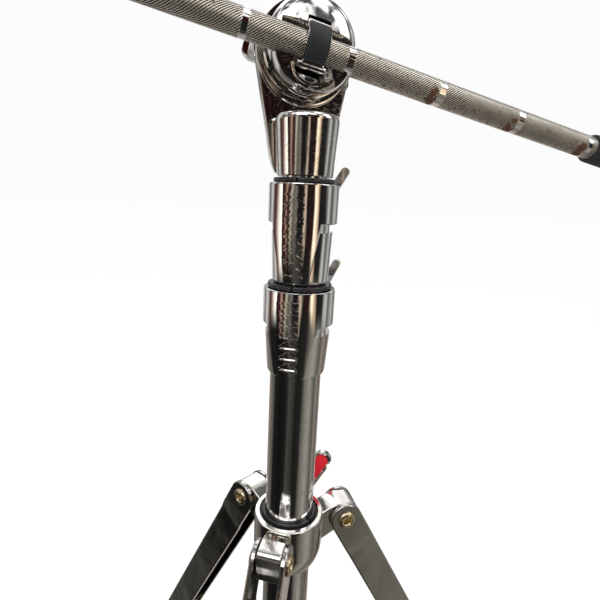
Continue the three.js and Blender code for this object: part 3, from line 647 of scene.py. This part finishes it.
def bracket_wing():
    """The leg bracket's bolt, with a red insert sunk in one of its ears."""
    wing = BRACKET_WING
    front = wing["depth"] - 0.6 - wing["thick"]
    reach = wing["length"]
    bolt = union(wings(**wing, bevel=0.8), pin(3.3, -6.1, 1, sides=32))
    pocket = cut(prism(ear(reach - 2, wing["root"] * 0.6, wing["tip"] - 1.4), front - 1,
                       front + 0.9), pin(wing["hub"] + 1.2, -1, wing["depth"]))
    inlay = cut(prism(ear(reach - 2.4, wing["root"] * 0.5, wing["tip"] - 1.8), front - 0.1,
                      front + 0.6), pin(wing["hub"] + 1.6, -1, wing["depth"]))
    place = at_back(26.3, BRACKET_BOLT_Z, 26)
    add("bracket_wing_bolt", cut(bolt, pocket), COLLAR_CHROME, place)
    add("bracket_wing_inlay", bevelled(inlay, 0.2), RED, place)


bracket_wing()


# ---- leg bracket

def bracket_lug():
    outline = [(16, -16), (LEG_R - 4, -7.5), (41, -7.5), (41, 3.6), *arc(37, 5.2, 4, 0, 80, 6),
               (LEG_R - 3, 9.6), (28, 8.9), (23, 7), (19, 5), (16, 5)]
    body = bevelled(prism(outline, -6.9, 6.9), 0.9, 3)
    return moved(cut(body, moved(pin(LEG_HOLE, -9, 9), shift(LEG_R))), shift(z=LEG_Z))


def leg_bracket():
    rim, foot, bore = BRACKET_RIM, BRACKET_FOOT, TUBE_R["base"] + FIT
    outline = [(15.4, foot), (16.4, foot + 0.8), (17.6, foot + 2.6), (18.8, foot + 5),
               (19.8, foot + 8), (20.5, foot + 11), (20.8, foot + 14), (20.8, rim - 1.2),
               (20.5, rim - 0.4), (19.7, rim)]
    at_bolt = turn("Z", BACK) @ shift(z=BRACKET_BOLT_Z)
    lugs = [moved(bracket_lug(), turn("Z", a)) for a in THIRDS]
    body = union(washer(outline, bore), moved(pin(7.2, 14, 26, "X"), at_bolt), *lugs)
    made = cut(body, moved(pin(3.6, 19, 30, "X"), at_bolt),
               capped([(18, rim - 12), (18, rim + 1)]), capped([(bore, 390), (bore, 440)]))
    add("leg_bracket", bevelled(made, 0.3, 2, 40), CAST_CHROME)
    ring = washer([(17.7, rim - 11.6), (17.7, rim - 1.4), (17.4, rim - 0.9), (16.7, rim - 0.9),
                   (16.5, rim - 0.6), (16.3, rim + 0.9), (16.0, rim + 1.2), (15.6, rim + 1.3)],
                  bore)
    made = cut(ring, moved(slit(foot, rim), turn("Z", -55)))
    add("leg_bracket_bushing", bevelled(made, 0.12), NYLON)


leg_bracket()


# ---- legs

def leg_channel():
    """A U-channel that narrows below its pivot and is open towards the tube."""
    top, low, sheet, half, head = 9.9, 8.5, 2.6, 10.0, 12.0

    def widths(inset, tall):
        side = [(top - inset, tall), (top - inset, -21), (low - inset, -30),
                (low - inset, -LEG_LENGTH - 2)]
        return side + [(-y, z) for y, z in reversed(side)]
    envelope = prism([*arc(0, 0, half, 0, 180, 28), (-half, -LEG_LENGTH), (half, -LEG_LENGTH)],
                     -top - 1, top + 1)
    outer = bevelled(common(prism(widths(0, head), -half - 1, half + 1, "X"), envelope), 1.0, 4, 50)
    inner = prism(widths(sheet, head + 1), -half - 2, half - sheet, "X")
    window = block((0, half + 2), (sheet - top, top - sheet), (-17, head))
    return bevelled(cut(outer, inner, window, pin(LEG_HOLE, -12, 12),
                        moved(pin(BRACE_HOLE, -12, 12), shift(z=-BRACE_AT))), 0.15, 1, 60)


def rivet(side, sides):
    """A rivet along Y, from the profile of one half of it."""
    outline = [(r, -y) for r, y in side] + [(r, y) for r, y in reversed(side)]
    return moved(lathe(outline, sides), turn("X", -90))


def hollow_rivet(radius, half, deep):
    """A tube rivet: rolled heads with a dished middle."""
    face = half + 0.15
    head = radius + 2
    side = [(0, face - deep), (radius - 1.5, face - deep), (radius - 1.2, face - deep + 0.4),
            (radius - 1.0, face + 0.7), (radius - 0.5, face + 1.3), (radius + 0.5, face + 1.5),
            (head - 0.6, face + 1.15), (head - 0.1, face + 0.6), (head, face), (radius, face)]
    return rivet(side, 48)


def round_rivet(radius, half):
    """A solid rivet with two low domed heads."""
    face = half + 0.15
    side = [(0, face + 1.5), (radius * 0.6, face + 1.4), (radius + 0.8, face + 1.1),
            (radius + 1.7, face + 0.6), (radius + 2, face), (radius, face)]
    return rivet(side, 40)


def brace():
    """A narrow channel with round ends, and the heads of its lower rivet."""
    half, sheet, depth = 5.6, 1.5, 6.0
    shape = [*arc(0, 0, depth, 0, 180, 16), *arc(0, -BRACE_AT, depth, 180, 360, 16)]
    body = bevelled(prism(shape, -half, half), 0.7, 3, 50)
    inner = (sheet - half, half - sheet)
    hollow = block((-depth - 1, depth - sheet), inner, (-BRACE_AT - 9, 9))
    upper = block((0, depth + 1), inner, (-24, 9))
    lower = block((0, depth + 1), inner, (-BRACE_AT - 9, 24 - BRACE_AT))
    bar = bevelled(cut(body, hollow, upper, lower, pin(BRACE_HOLE, -9, 9)), 0.12, 1, 60)
    cap = about_y([(4, half - 0.1), (4, half + 0.4), (3.7, half + 0.8), (2.8, half + 1.2)], 32)
    at_end = shift(z=-BRACE_AT)
    return union(bar, moved(cap, at_end), moved(cap, at_end @ turn("Z", 180)))


def foot():
    """A rubber shoe on the leg's end, with grooves under it and two sunk lines round it."""
    lean = math.radians(LEG_ANGLE)
    end_x = LEG_R + LEG_LENGTH * math.sin(lean)
    end_z = LEG_Z - LEG_LENGTH * math.cos(lean)

    def at(along, out):
        return (end_x + along * math.sin(lean) + out * math.cos(lean),
                end_z - along * math.cos(lean) + out * math.sin(lean))

    def bezier(p0, p1, p2, steps=8):
        made = []
        for i in range(1, steps + 1):
            t = i / steps
            made.append(tuple((1 - t) ** 2 * a + 2 * t * (1 - t) * b + t * t * c
                              for a, b, c in zip(p0, p1, p2)))
        return made
    rim, width = 12.6, 11.1
    left, right = (end_x - 15, 5), (end_x + 14, 7)
    shape = [at(-20, -rim), left, *bezier(left, (end_x - 15.5, 0), (end_x - 10, 0)),
             (end_x + 8, 0), *bezier((end_x + 8, 0), (end_x + 14, 0), right),
             *bezier(right, (end_x + 14, 18), at(-10, rim)), at(-20, rim)]
    body = bevelled(prism(shape, -width, width), 1.3, 4, 40)
    down_leg = shift(LEG_R, 0, LEG_Z) @ turn("Y", -LEG_ANGLE)
    pocket = moved(block((-10.3, 10.3), (-8.8, 8.8), (-LEG_LENGTH - 0.3, 0)), down_leg)
    grooves = [block((end_x - 20, end_x + 20), (y - 0.9, y + 0.9), (-1, 1.2))
               for y in (-7, -3.5, 0, 3.5, 7)]
    hoop = cut(block((-14, 14), (-12.5, 12.5), (0, 1.1)),
               block((-12, 12), (-10.5, 10.5), (-1, 2)))
    lines = [moved(hoop, down_leg @ shift(z=-LEG_LENGTH + up - 1.1)) for up in (14.5, 11.5)]
    return cut(body, pocket, *grooves, *lines)


CHANNEL, BRACE, FOOT = leg_channel(), brace(), foot()
PIVOT_RIVET = hollow_rivet(3.4, 9.9, 2.4)
BRACE_RIVET, LOWER_PIN = round_rivet(2.5, 8.5), round_rivet(1.4, 2.05)

for number, azimuth in enumerate(THIRDS, 1):
    name = f"leg_{number}"
    round_z = turn("Z", azimuth)
    pivot = round_z @ shift(LEG_R, 0, LEG_Z) @ turn("Y", -LEG_ANGLE)
    joint = pivot @ shift(z=-BRACE_AT)
    add(name, CHANNEL, LEG_CHROME, pivot)
    add(name + "_pivot_rivet", PIVOT_RIVET, RIVET, pivot)
    add(name + "_brace_rivet", BRACE_RIVET, RIVET, joint)
    add(name + "_brace", BRACE, LEG_CHROME, joint @ turn("Y", 2 * LEG_ANGLE))
    add(name + "_foot", FOOT, RUBBER, round_z)
    add(name + "_lower_pin", LOWER_PIN, RIVET, round_z @ shift(LEG_R, 0, LOWER_BRACKET_Z))


def set_screw(lo, hi, socket):
    """A headless screw along Z with a hexagonal socket in its end."""
    return cut(capped([(2.4, lo), (2.4, hi - 0.7), (2.1, hi - 0.2), (1.6, hi)], 32),
               capped([(1.2, hi - socket), (1.2, hi + 2)], 6))


def lower_bracket():
    z, bore = LOWER_BRACKET_Z, TUBE_R["base"] + FIT
    arm = prism([(15, -6), (LEG_R, -5.5), *arc(LEG_R, 0, 5.5, -90, 90, 16), (15, 6)], -3.7, 3.7)
    hole = moved(pin(BRACE_HOLE, -6, 6), shift(LEG_R))
    arm = moved(cut(bevelled(arm, 0.6, 3, 50), hole), shift(z=z))
    ring = washer([(18, z - 8), (18.8, z - 7.6), (19, z - 7), (19, z + 7), (18.8, z + 7.6),
                   (18, z + 8)], bore)
    body = union(ring, *[moved(arm, turn("Z", a)) for a in THIRDS])
    at_screw = turn("Z", BACK) @ shift(z=z)
    made = cut(body, capped([(bore, z - 10), (bore, z + 10)]),
               moved(pin(2.6, 14, 25, "X"), at_screw))
    add("lower_bracket", bevelled(made, 0.25, 2, 40), CAST_CHROME)
    add("lower_bracket_screw", set_screw(14.8, 19, 2), ZINC, at_screw @ turn("Y", 90))


lower_bracket()


# ---- boom tilter

def tilter_socket():
    """The boss on the top tube, with the upright plate that the head tilts against."""
    middle, disc, foot, screw_z = TILT_Z + RISE, 25.3, 627.2, 639.2
    low = foot + 1.5 - middle
    curve = [(13, low), (14.9, low + 4), (16.4, low + 9), (17.4, low + 14), (18, low + 18)]
    outline = curve + arc(0, 0, disc, -10, 190, 48) + [(-x, z) for x, z in reversed(curve)]
    plate = bevelled(prism(outline, 9, 14), 1.0, 3, 50)
    pad = about_y([(disc - 1.4, 6.8), (disc - 0.5, 7.1), (disc, 7.9), (disc, 10)])
    boss = capped([(13.6, foot), (14.1, 627.4), (14.3, 627.9), (16, 653.2), (15.9, 654.6),
                   (15.3, 655.8), (14.2, 656.4)], 112)
    body = union(boss, moved(plate, shift(z=middle)), moved(pad, shift(z=middle)))
    bore = TUBE_R["top"] + FIT
    made = cut(body, capped([(bore, 626), (bore, 649.3)]),
               moved(pin(PIVOT_HOLE, 0, 30), shift(z=TILT_Z)),
               moved(pin(2.6, 12, 24), shift(z=screw_z)))
    add("tilter_socket", bevelled(made, 0.2, 2, 40), TILTER_CHROME)
    add("tilter_set_screw", set_screw(12.3, 15, 1.8), ZINC, shift(z=screw_z) @ turn("X", -90))


def tilter_ratchet():
    teeth, root, tip, points = 24, 18.6, 19.8, []
    for i in range(2 * teeth):
        a, r = math.pi * i / teeth, root if i % 2 else tip
        points.append((r * math.cos(a), r * math.sin(a)))
    disc = cut(prism(points, 4.9, 6.5), pin(PIVOT_HOLE, 0, 10))
    add("tilter_ratchet", bevelled(disc, 0.15), NYLON, shift(z=TILT_Z))


TILTED = shift(z=TILT_Z) @ turn("Y", BOOM_TILT)


def tilter_head():
    """A domed disc whose brow overhangs the boom, over a cradle with a scooped front."""
    head, back, groove_r = 22.0, 4.6, BOOM_R + FIT
    dome = about_y([(3, -8.6), (6, -8.45), (head - 13, -8.0), (head - 10, -7.3), (head - 7, -6.4),
                    (head - 4.5, -5.3), (head - 2.4, -3.9), (head - 0.9, -2.1), (head - 0.2, -0.4),
                    (head, 1.4), (head, back - 0.8), (head - 0.8, back)], 112)
    cradle = about_y([(head - 11, -12), (head - 8, -11.7), (head - 5, -10.5), (head - 3.2, -8.4),
                      (head - 2.2, -5.4), (head - 2, -3), (head - 2, 0)], 112)
    lower = block((-40, 40), (-20, 2), (-40, -3))
    groove = moved(pin(groove_r, -40, 40, "X"), shift(y=BOOM_Y))
    mouth = block((-40, 40), (-40, BOOM_Y), (-groove_r, groove_r))
    shelf = block((-17.5, 17.5), (-20, -1.2), (0, 9.5))
    eye_slot = block((-6.3, 4.9), (-40, 3.6), (-12, 12.5))
    bowl = about_y([(9.6, -20), (9.6, -13), (9.3, -11), (8.6, -9), (7.5, -7.4), (6, -6.2),
                    (4, -5.6), (2, -5.4)], 96)
    cup = moved(bowl, shift(z=-10.4) @ Matrix.Diagonal((1.22, 1, 0.9, 1)))
    leaf = moved(pin(7.2, -20, -7.6, sides=96), Matrix.Diagonal((0.72, 1, 1.5, 1)))
    left = moved(leaf, shift(-15.6, 0, -9.0) @ turn("Y", 28))
    right = moved(leaf, shift(15.8, 0, -9.0) @ turn("Y", -28))
    body = union(moved(dome, shift(z=3.5)), common(cradle, lower))
    made = cut(body, groove, mouth, shelf, eye_slot, cup, left, right, pin(PIVOT_HOLE, -40, 10))
    add("tilter_head", bevelled(made, 0.5, 3, 30), TILTER_CHROME, TILTED)


def eye_bolt():
    """The eye round the rod, with rounded lips along its rim, and its pad."""
    inner, outer, width, at = 6.75, 9.3, 10.8, -0.7
    half, ring = width / 2, outer + 0.35
    eye = moved(pin(outer, -half, half, "X", 96), shift(at, BOOM_Y))
    neck = pin(3.9, BOOM_Y + inner + 0.3, 27.5, sides=48)
    lips = []
    for degrees, radius, reach in ((78, 1.5, half), (64, 1.15, half), (-58, 1.15, half),
                                   (-70, 1.6, half + 1.7)):
        a = math.radians(degrees)
        lip = capped([(radius * 0.6, -reach), (radius * 0.9, -reach + 0.3), (radius, -reach + 0.9),
                      (radius, reach - 0.9), (radius * 0.9, reach - 0.3),
                      (radius * 0.6, reach)], 32)
        place = shift(at, BOOM_Y - ring * math.cos(a), ring * math.sin(a))
        lips.append(moved(lip, place @ turn("Y", 90)))
    body = bevelled(union(eye, neck, *lips), 0.25, 2, 50)
    made = cut(body, moved(pin(inner, -width, width, "X", 96), shift(at, BOOM_Y)))
    add("tilter_eye_bolt", made, TILTER_CHROME, TILTED)
    inside = arc(0, 0, outer + 0.15, 56, -50, 24)
    outside = arc(0, 0, 10.8, -50, 56, 24)
    pad = prism([(-y, z) for y, z in outside + inside], at - half + 0.45, at + half - 0.45, "X")
    add("tilter_eye_pad", bevelled(moved(pad, shift(y=BOOM_Y)), 0.45, 3, 50), PAD, TILTED)


def wing_nut(node, wing, hole, matrix, bevel=0.7):
    nut = cut(wings(**wing, bevel=bevel), pin(hole, -1, wing["depth"] + 2, sides=48))
    add(node, nut, TILTER_CHROME, matrix)


tilter_socket()
tilter_ratchet()
tilter_head()
eye_bolt()
add("tilter_washer", washer([(8.7, 0), (9, 0.3), (9, 1.1), (8.4, 1.6)], PIVOT_HOLE), ZINC,
    shift(0, 14.3, TILT_Z) @ turn("X", -90))
wing_nut("tilter_wing_nut", dict(length=30, root=4.4, tip=5.6, thick=3.2, depth=11, hub=8),
         PIVOT_HOLE, shift(0, 16.3, TILT_Z) @ turn("Y", -77))


# ---- boom

BOOM = TILTED @ shift(y=BOOM_Y)
SEAT_X = -SEAT_END - 12  # the seat's pivot, just past the rod's end
SEAT = BOOM @ shift(SEAT_X) @ turn("Y", -BOOM_TILT)


def boom_rod():
    """A diamond knurl in real relief, parted by narrow polished bands."""
    crest, valley, band = BOOM_R, BOOM_R - 0.3, BOOM_R - 0.12
    bm = bmesh.new()
    mark = bm.verts.layers.float.new("crest")
    stain = bm.verts.layers.float.new("rust")

    def from_band(x):
        return (x - BAND_FIRST + BAND_PITCH / 2) % BAND_PITCH - BAND_PITCH / 2

    def rust_at(x, a):
        """Likelier low on the front of the rod, and most of all just before a band."""
        side = max(0.0, -0.55 * math.cos(a) - 0.83 * math.sin(a))
        near = math.exp(-((from_band(x) + 4.5) / 3.4) ** 2)
        return side * (near + 0.3) if x > 20 else 0.0

    def ring(x, radius, k=None):
        made = []
        for i in range(KNURL_COLUMNS):
            high = k is None or (i + k) % 2 == 0
            a = 2 * math.pi * i / KNURL_COLUMNS
            r = radius if k is None else (crest if high else valley)
            v = bm.verts.new((x, r * math.cos(a), r * math.sin(a)))
            v[mark] = 1.0 if high else 0.0
            v[stain] = rust_at(x, a)
            made.append(v)
        return made

    end_r = band - 0.6
    rings = [(ring(-SEAT_END, end_r), None)]
    for k in range(1, KNURL_ROWS):
        x = -SEAT_END + k * KNURL_STEP
        smooth = abs(from_band(x)) < BAND_HALF
        rings.append((ring(x, band), None) if smooth else (ring(x, 0, k), k))
    rings.append((ring(TAIL, end_r), None))
    for (a, k), (b, m) in zip(rings, rings[1:]):
        for i in range(KNURL_COLUMNS):
            j = (i + 1) % KNURL_COLUMNS
            if k is None or m is None:
                face = bm.faces.new((a[i], a[j], b[j], b[i]))
                face.material_index = 1 if k is None and m is None else 0
            elif (i + k) % 2 == 0:
                bm.faces.new((a[i], a[j], b[i]))
                bm.faces.new((a[j], b[j], b[i]))
            else:
                bm.faces.new((a[i], a[j], b[j]))
                bm.faces.new((a[i], b[j], b[i]))
    for end in (rings[0][0], rings[-1][0]):
        bm.faces.new(end)
    add("boom_rod", from_bmesh(bm), [KNURL, BAND_CHROME], BOOM, sharp=60, weighted=False)


boom_rod()
end_cap = cut(capped([
    (BOOM_R + 1.1, TAIL - 15), (BOOM_R + 1.45, TAIL - 14.6), (BOOM_R + 1.6, TAIL - 14),
    (BOOM_R + 1.6, TAIL + 1), (BOOM_R + 1.3, TAIL + 2.4), (BOOM_R + 0.4, TAIL + 3.5),
    (BOOM_R - 0.9, TAIL + 4)]), capped([(BOOM_R + FIT, TAIL - 20), (BOOM_R + FIT, TAIL + FIT)]))
add("boom_end_cap", end_cap, RUBBER, BOOM @ turn("Y", 90))


# ---- cymbal seat

SEAT_HOLE = 3.3  # for the seat's pivot bolt
POST_R = 4.0
POST_HOLE = 4.3  # in what sits on the post
FELT_Z = 26.2


def seat_clamp():
    end = -SEAT_END
    sleeve = pin(9.4, end - 1, end + 24, "X", 96)
    knuckle = moved(pin(11, 0.3, 9, sides=96), shift(SEAT_X))
    neck = block((SEAT_X, end), (0.3, 9), (-7, 7))
    body = bevelled(union(sleeve, neck, knuckle), 0.6, 3, 40)
    made = cut(body, pin(BOOM_R + FIT, end - FIT, end + 30, "X"),
               moved(pin(SEAT_HOLE, -2, 12), shift(SEAT_X)))
    add("seat_clamp", made, TILTER_CHROME, BOOM)


def seat_knuckle():
    disc = pin(10.6, -8.7, -0.35, sides=96)
    stem = capped([(6.5, 8), (6.5, 18), (8.2, 19.8), (8.5, 20.4), (8.5, 22.5)])
    web = block((-6, 6), (-8.7, -0.3), (0, 16))
    body = bevelled(union(disc, web, cut(stem, pin(12, 0, 12, sides=96))), 0.5, 3, 40)
    made = cut(body, pin(SEAT_HOLE, -12, 2), capped([(4.15, 12), (4.15, 30)], 48))
    add("seat_knuckle", made, TILTER_CHROME, SEAT)


seat_clamp()
seat_knuckle()
bolt = union(wings(19, 4, 4.6, 3, 8, 6.5, 0.6), pin(3.1, -17.6, 1, sides=32))
add("seat_wing_bolt", bolt, TILTER_CHROME, SEAT @ shift(y=-9) @ turn("Z", 180))


def seat_post():
    """The upper part carries a fine thread, as closed turns one above the other."""
    outline = [(3.6, 12.4), (POST_R, 12.8), (POST_R, 58)]
    z, pitch, root = 58.4, 1.25, 3.45
    while z < 90.5:
        outline += [(root, z), (POST_R, z + pitch * 0.4), (POST_R, z + pitch * 0.6)]
        z += pitch
    outline += [(3.5, 91), (3.0, 92)]
    add("seat_post", capped(outline, 48), ZINC, SEAT, sharp=60, weighted=False)


seat_post()
add("seat_washer", washer([(8.6, 0), (9.4, 0.1), (16.6, 1.5), (17, 1.9), (17, 2.7), (16.7, 3),
                           (9.3, 3)], POST_HOLE), TILTER_CHROME, SEAT @ shift(z=22.8))


def felt_ring(node, z):
    """A felt washer with rounded rims and a slightly uneven, fibrous surface."""
    felt, bore, tall, faces = 18.0, 6.6, 12, (8.5, 11, 14)
    rim = [(felt - 2, 0), (felt - 1, 0.3), (felt - 0.3, 1), (felt, 2), (felt, 4),
           (felt - 0.15, 6), (felt, 8), (felt, 10), (felt - 0.3, 11), (felt - 1, 11.7),
           (felt - 2, tall)]
    mesh = lathe([(bore, 0.4), (bore + 0.4, 0), *[(r, 0) for r in faces], *rim,
                  *[(r, tall) for r in reversed(faces)], (bore + 0.4, tall), (bore, 11.6),
                  (bore, 6)], 128)
    piece = add(node, mesh, FELT, SEAT @ shift(z=z), sharp=80, weighted=False)
    bm = bmesh.new()
    bm.from_mesh(piece.data)
    bm.normal_update()
    centre = (SEAT @ shift(z=z)).to_translation() * MM
    for v in bm.verts:
        p = (v.co - centre) / MM
        out = math.hypot(p.x, p.y)
        wave = math.sin(out * 2.1 + p.z * 1.7) * math.sin(math.atan2(p.y, p.x) * 23 + p.z * 2.9)
        if out > felt - 0.8:
            v.co -= v.normal * MM * 0.12 * (1 + wave)
    bm.to_mesh(piece.data)
    bm.free()


felt_ring("lower_felt", FELT_Z)
felt_ring("upper_felt", 47.6)
add("seat_sleeve", washer([(6.1, 0), (6.3, 0.3), (6.3, 33.5), (5.9, 34)], POST_HOLE, 64), NYLON,
    SEAT @ shift(z=FELT_Z))
wing_nut("seat_wing_nut", dict(length=20, root=5, tip=5.5, thick=3.4, depth=13, hub=8),
         POST_HOLE, SEAT @ shift(z=61) @ turn("X", 90), 0.8)


# ---- stage, light and camera

def stage():
    """A plain pale floor. The chrome mirrors the room instead of it."""
    half, floor = 20, bpy.data.meshes.new("floor")
    floor.from_pydata([(-half, -half, 0), (half, -half, 0), (half, half, 0), (-half, half, 0)], [],
                      [(0, 1, 2, 3)])
    thing = bpy.data.objects.new("floor", floor)
    bpy.context.scene.collection.objects.link(thing)
    thing.location.z = -0.0005  # just under the feet
    thing.visible_glossy = False
    paint = Surface("floor").plug(Base_Color=rgb(0.9, 0.9, 0.9), Roughness=0.95,
                                  Specular_IOR_Level=0.0)
    floor.materials.append(paint.material)


YAW, PITCH, ROLL = 16.5, 13.26, 2.79  # the camera's, in degrees

# What the chrome mirrors: a room of tall soft strips. Each stop is an azimuth, 0 at the side the
# photo was taken from and growing towards the picture's right, and a colour or a shade of grey.
# STRIPS is at eye level, HIGH_STRIPS above it and LOW_STRIPS, dimmer, below.
FRONT_AZIMUTH = -90 - YAW
STRIPS = [
    (-180, 0.6), (-148, 0.6), (-138, 0.03), (-122, (0.75, 0.73, 0.70)), (-110, (0.30, 0.27, 0.25)),
    (-103, (0.02, 0.015, 0.015)), (-93, (0.22, 0.10, 0.085)), (-86, (0.9, 0.85, 0.75)),
    (-76, (1.4, 1.35, 1.2)), (-71, (0.04, 0.02, 0.02)), (-63, (0.05, 0.02, 0.02)),
    (-57, (0.46, 0.30, 0.22)), (-51, (0.06, 0.02, 0.018)), (-44, (0.04, 0.03, 0.02)),
    (-38, (0.60, 0.55, 0.42)), (-31, (0.10, 0.09, 0.07)), (-25, (0.22, 0.20, 0.17)), (-17, 0.010),
    (0, (0.012, 0.011, 0.010)), (7, (0.75, 0.60, 0.45)), (13, (0.012, 0.010, 0.010)),
    (34, (0.03, 0.012, 0.010)), (41, (1.5, 1.3, 0.98)), (49, (0.75, 0.55, 0.36)),
    (56, (0.012, 0.010, 0.010)), (78, 0.02), (92, (0.60, 0.60, 0.57)), (106, (0.09, 0.09, 0.085)),
    (126, (0.5, 0.5, 0.48)), (144, 0.05), (162, 0.72),
]
HIGH_STRIPS = [
    (-180, 0.55), (-140, 0.10), (-118, 0.85), (-104, (0.25, 0.24, 0.23)),
    (-90, (0.04, 0.03, 0.03)), (-75, (0.45, 0.40, 0.36)), (-65, (0.16, 0.09, 0.08)),
    (-55, (0.42, 0.28, 0.22)), (-47, (0.03, 0.02, 0.02)), (-36, (0.40, 0.36, 0.31)), (-26, 0.02),
    (-8, 0.012), (1, (0.16, 0.13, 0.11)), (7, (0.012, 0.008, 0.008)), (21, (0.045, 0.006, 0.008)),
    (28, (0.010, 0.004, 0.004)), (41, 0.008), (46, (1.4, 1.1, 0.80)), (54, (0.60, 0.40, 0.27)),
    (61, 0.03), (76, 0.06), (90, (0.40, 0.40, 0.39)), (104, 0.08), (120, (0.6, 0.6, 0.58)),
    (142, 0.06), (165, 0.6),
]
LOW_STRIPS = [
    (-180, (0.5, 0.47, 0.47)), (-140, (0.26, 0.23, 0.20)), (-108, (0.10, 0.095, 0.085)),
    (-98, (0.012, 0.012, 0.011)), (-52, 0.008), (-34, (0.015, 0.014, 0.013)),
    (-22, (0.07, 0.07, 0.063)), (-6, (0.04, 0.04, 0.036)), (8, (0.012, 0.012, 0.011)),
    (30, (0.02, 0.02, 0.018)), (46, (0.20, 0.19, 0.16)), (72, (0.34, 0.33, 0.29)),
    (96, (0.10, 0.10, 0.09)), (112, (0.30, 0.26, 0.22)), (134, (0.14, 0.12, 0.10)),
    (160, (0.5, 0.44, 0.42)),
]


def world():
    """White light on everything; mirrors see a room of tall strips under a bright ceiling."""
    made = bpy.data.worlds.new("studio")
    bpy.context.scene.world = made
    made.use_nodes = True
    n = Nodes(made.node_tree)

    def smooth(value, low, high):
        return n.node("ShaderNodeMapRange", {"Value": value, "From Min": low, "From Max": high},
                      interpolation_type="SMOOTHSTEP").outputs[0]

    def strips(around, stops):
        return n.ramp(around, sorted((((a + FRONT_AZIMUTH) / 360 + 0.5) % 1.0, colour)
                                     for a, colour in stops))

    direction = n.node("ShaderNodeTexCoord").outputs["Generated"]
    split = n.node("ShaderNodeSeparateXYZ", {"Vector": direction}).outputs
    angle = n.math("ARCTAN2", split["Y"], split["X"])
    around = n.math("ADD", n.math("DIVIDE", angle, 2 * math.pi), 0.5)
    wobble = n.math("SUBTRACT", n.noise(direction, 3.2, 3.0, 0.5), 0.5)
    uneven = n.plus(around, wobble, 0.06)
    uneven = n.math("FRACT", n.math("ADD", uneven, 1.0))
    height = split["Z"]
    room = n.mix(smooth(height, -0.36, -0.24), strips(uneven, LOW_STRIPS), strips(uneven, STRIPS))
    room = n.mix(smooth(height, 0.09, 0.13), room, strips(around, HIGH_STRIPS))
    clouds = smooth(n.noise(direction, 2.6, 2.0, 0.5), 0.42, 0.56)
    ceiling = n.mix(clouds, rgb(0.10, 0.10, 0.105), rgb(1.5, 1.5, 1.5))
    room = n.mix(smooth(height, 0.42, 0.66), room, ceiling)
    path = n.node("ShaderNodeLightPath").outputs
    lit = n.mix(path["Is Glossy Ray"], rgb(1.09, 1.09, 1.09), room)
    n.feed(n.tree.nodes["Background"].inputs["Color"],
           n.mix(path["Is Camera Ray"], lit, rgb(0.975, 0.975, 0.975)))


def lamp(name, at, target, size, power):
    data = bpy.data.lights.new(name, "AREA")
    data.shape = "RECTANGLE"
    data.size, data.size_y = size
    data.energy = power
    thing = bpy.data.objects.new(name, data)
    thing.location = at
    thing.rotation_euler = (Vector(target) - Vector(at)).to_track_quat("-Z", "Y").to_euler()
    bpy.context.scene.collection.objects.link(thing)


def camera():
    """The photograph's view: close in front, a little above the collars, looking down."""
    yaw, pitch, roll = (math.radians(a) for a in (YAW, PITCH, ROLL))
    across = Vector((math.cos(yaw), -math.sin(yaw), 0))
    ahead = Vector((math.sin(yaw), math.cos(yaw), 0))
    z = Vector((0, 0, 1))
    forward = ahead * math.cos(pitch) - z * math.sin(pitch)
    upward = z * math.cos(pitch) + ahead * math.sin(pitch)
    right = across * math.cos(roll) + upward * math.sin(roll)
    top = upward * math.cos(roll) - across * math.sin(roll)
    matrix = Matrix((right, top, -forward)).transposed().to_4x4()
    matrix.translation = across * 0.0006 - ahead * 0.2287 + z * 0.617
    data = bpy.data.cameras.new("camera")
    data.sensor_width, data.lens, data.clip_start = 36, 26.016, 0.01
    thing = bpy.data.objects.new("camera", data)
    thing.matrix_world = matrix
    bpy.context.scene.collection.objects.link(thing)
    bpy.context.scene.camera = thing


stage()
world()
lamp("key", (-0.9, -1.1, 2.0), (0, 0, 0.5), (1.2, 1.2), 7)
lamp("fill", (1.5, -0.7, 1.7), (0, 0, 0.4), (0.8, 1.2), 4)
lamp("back", (0.3, 1.6, 1.7), (0, 0, 0.4), (1.6, 1.0), 4)
camera()
bpy.context.scene.view_settings.view_transform = "Standard"
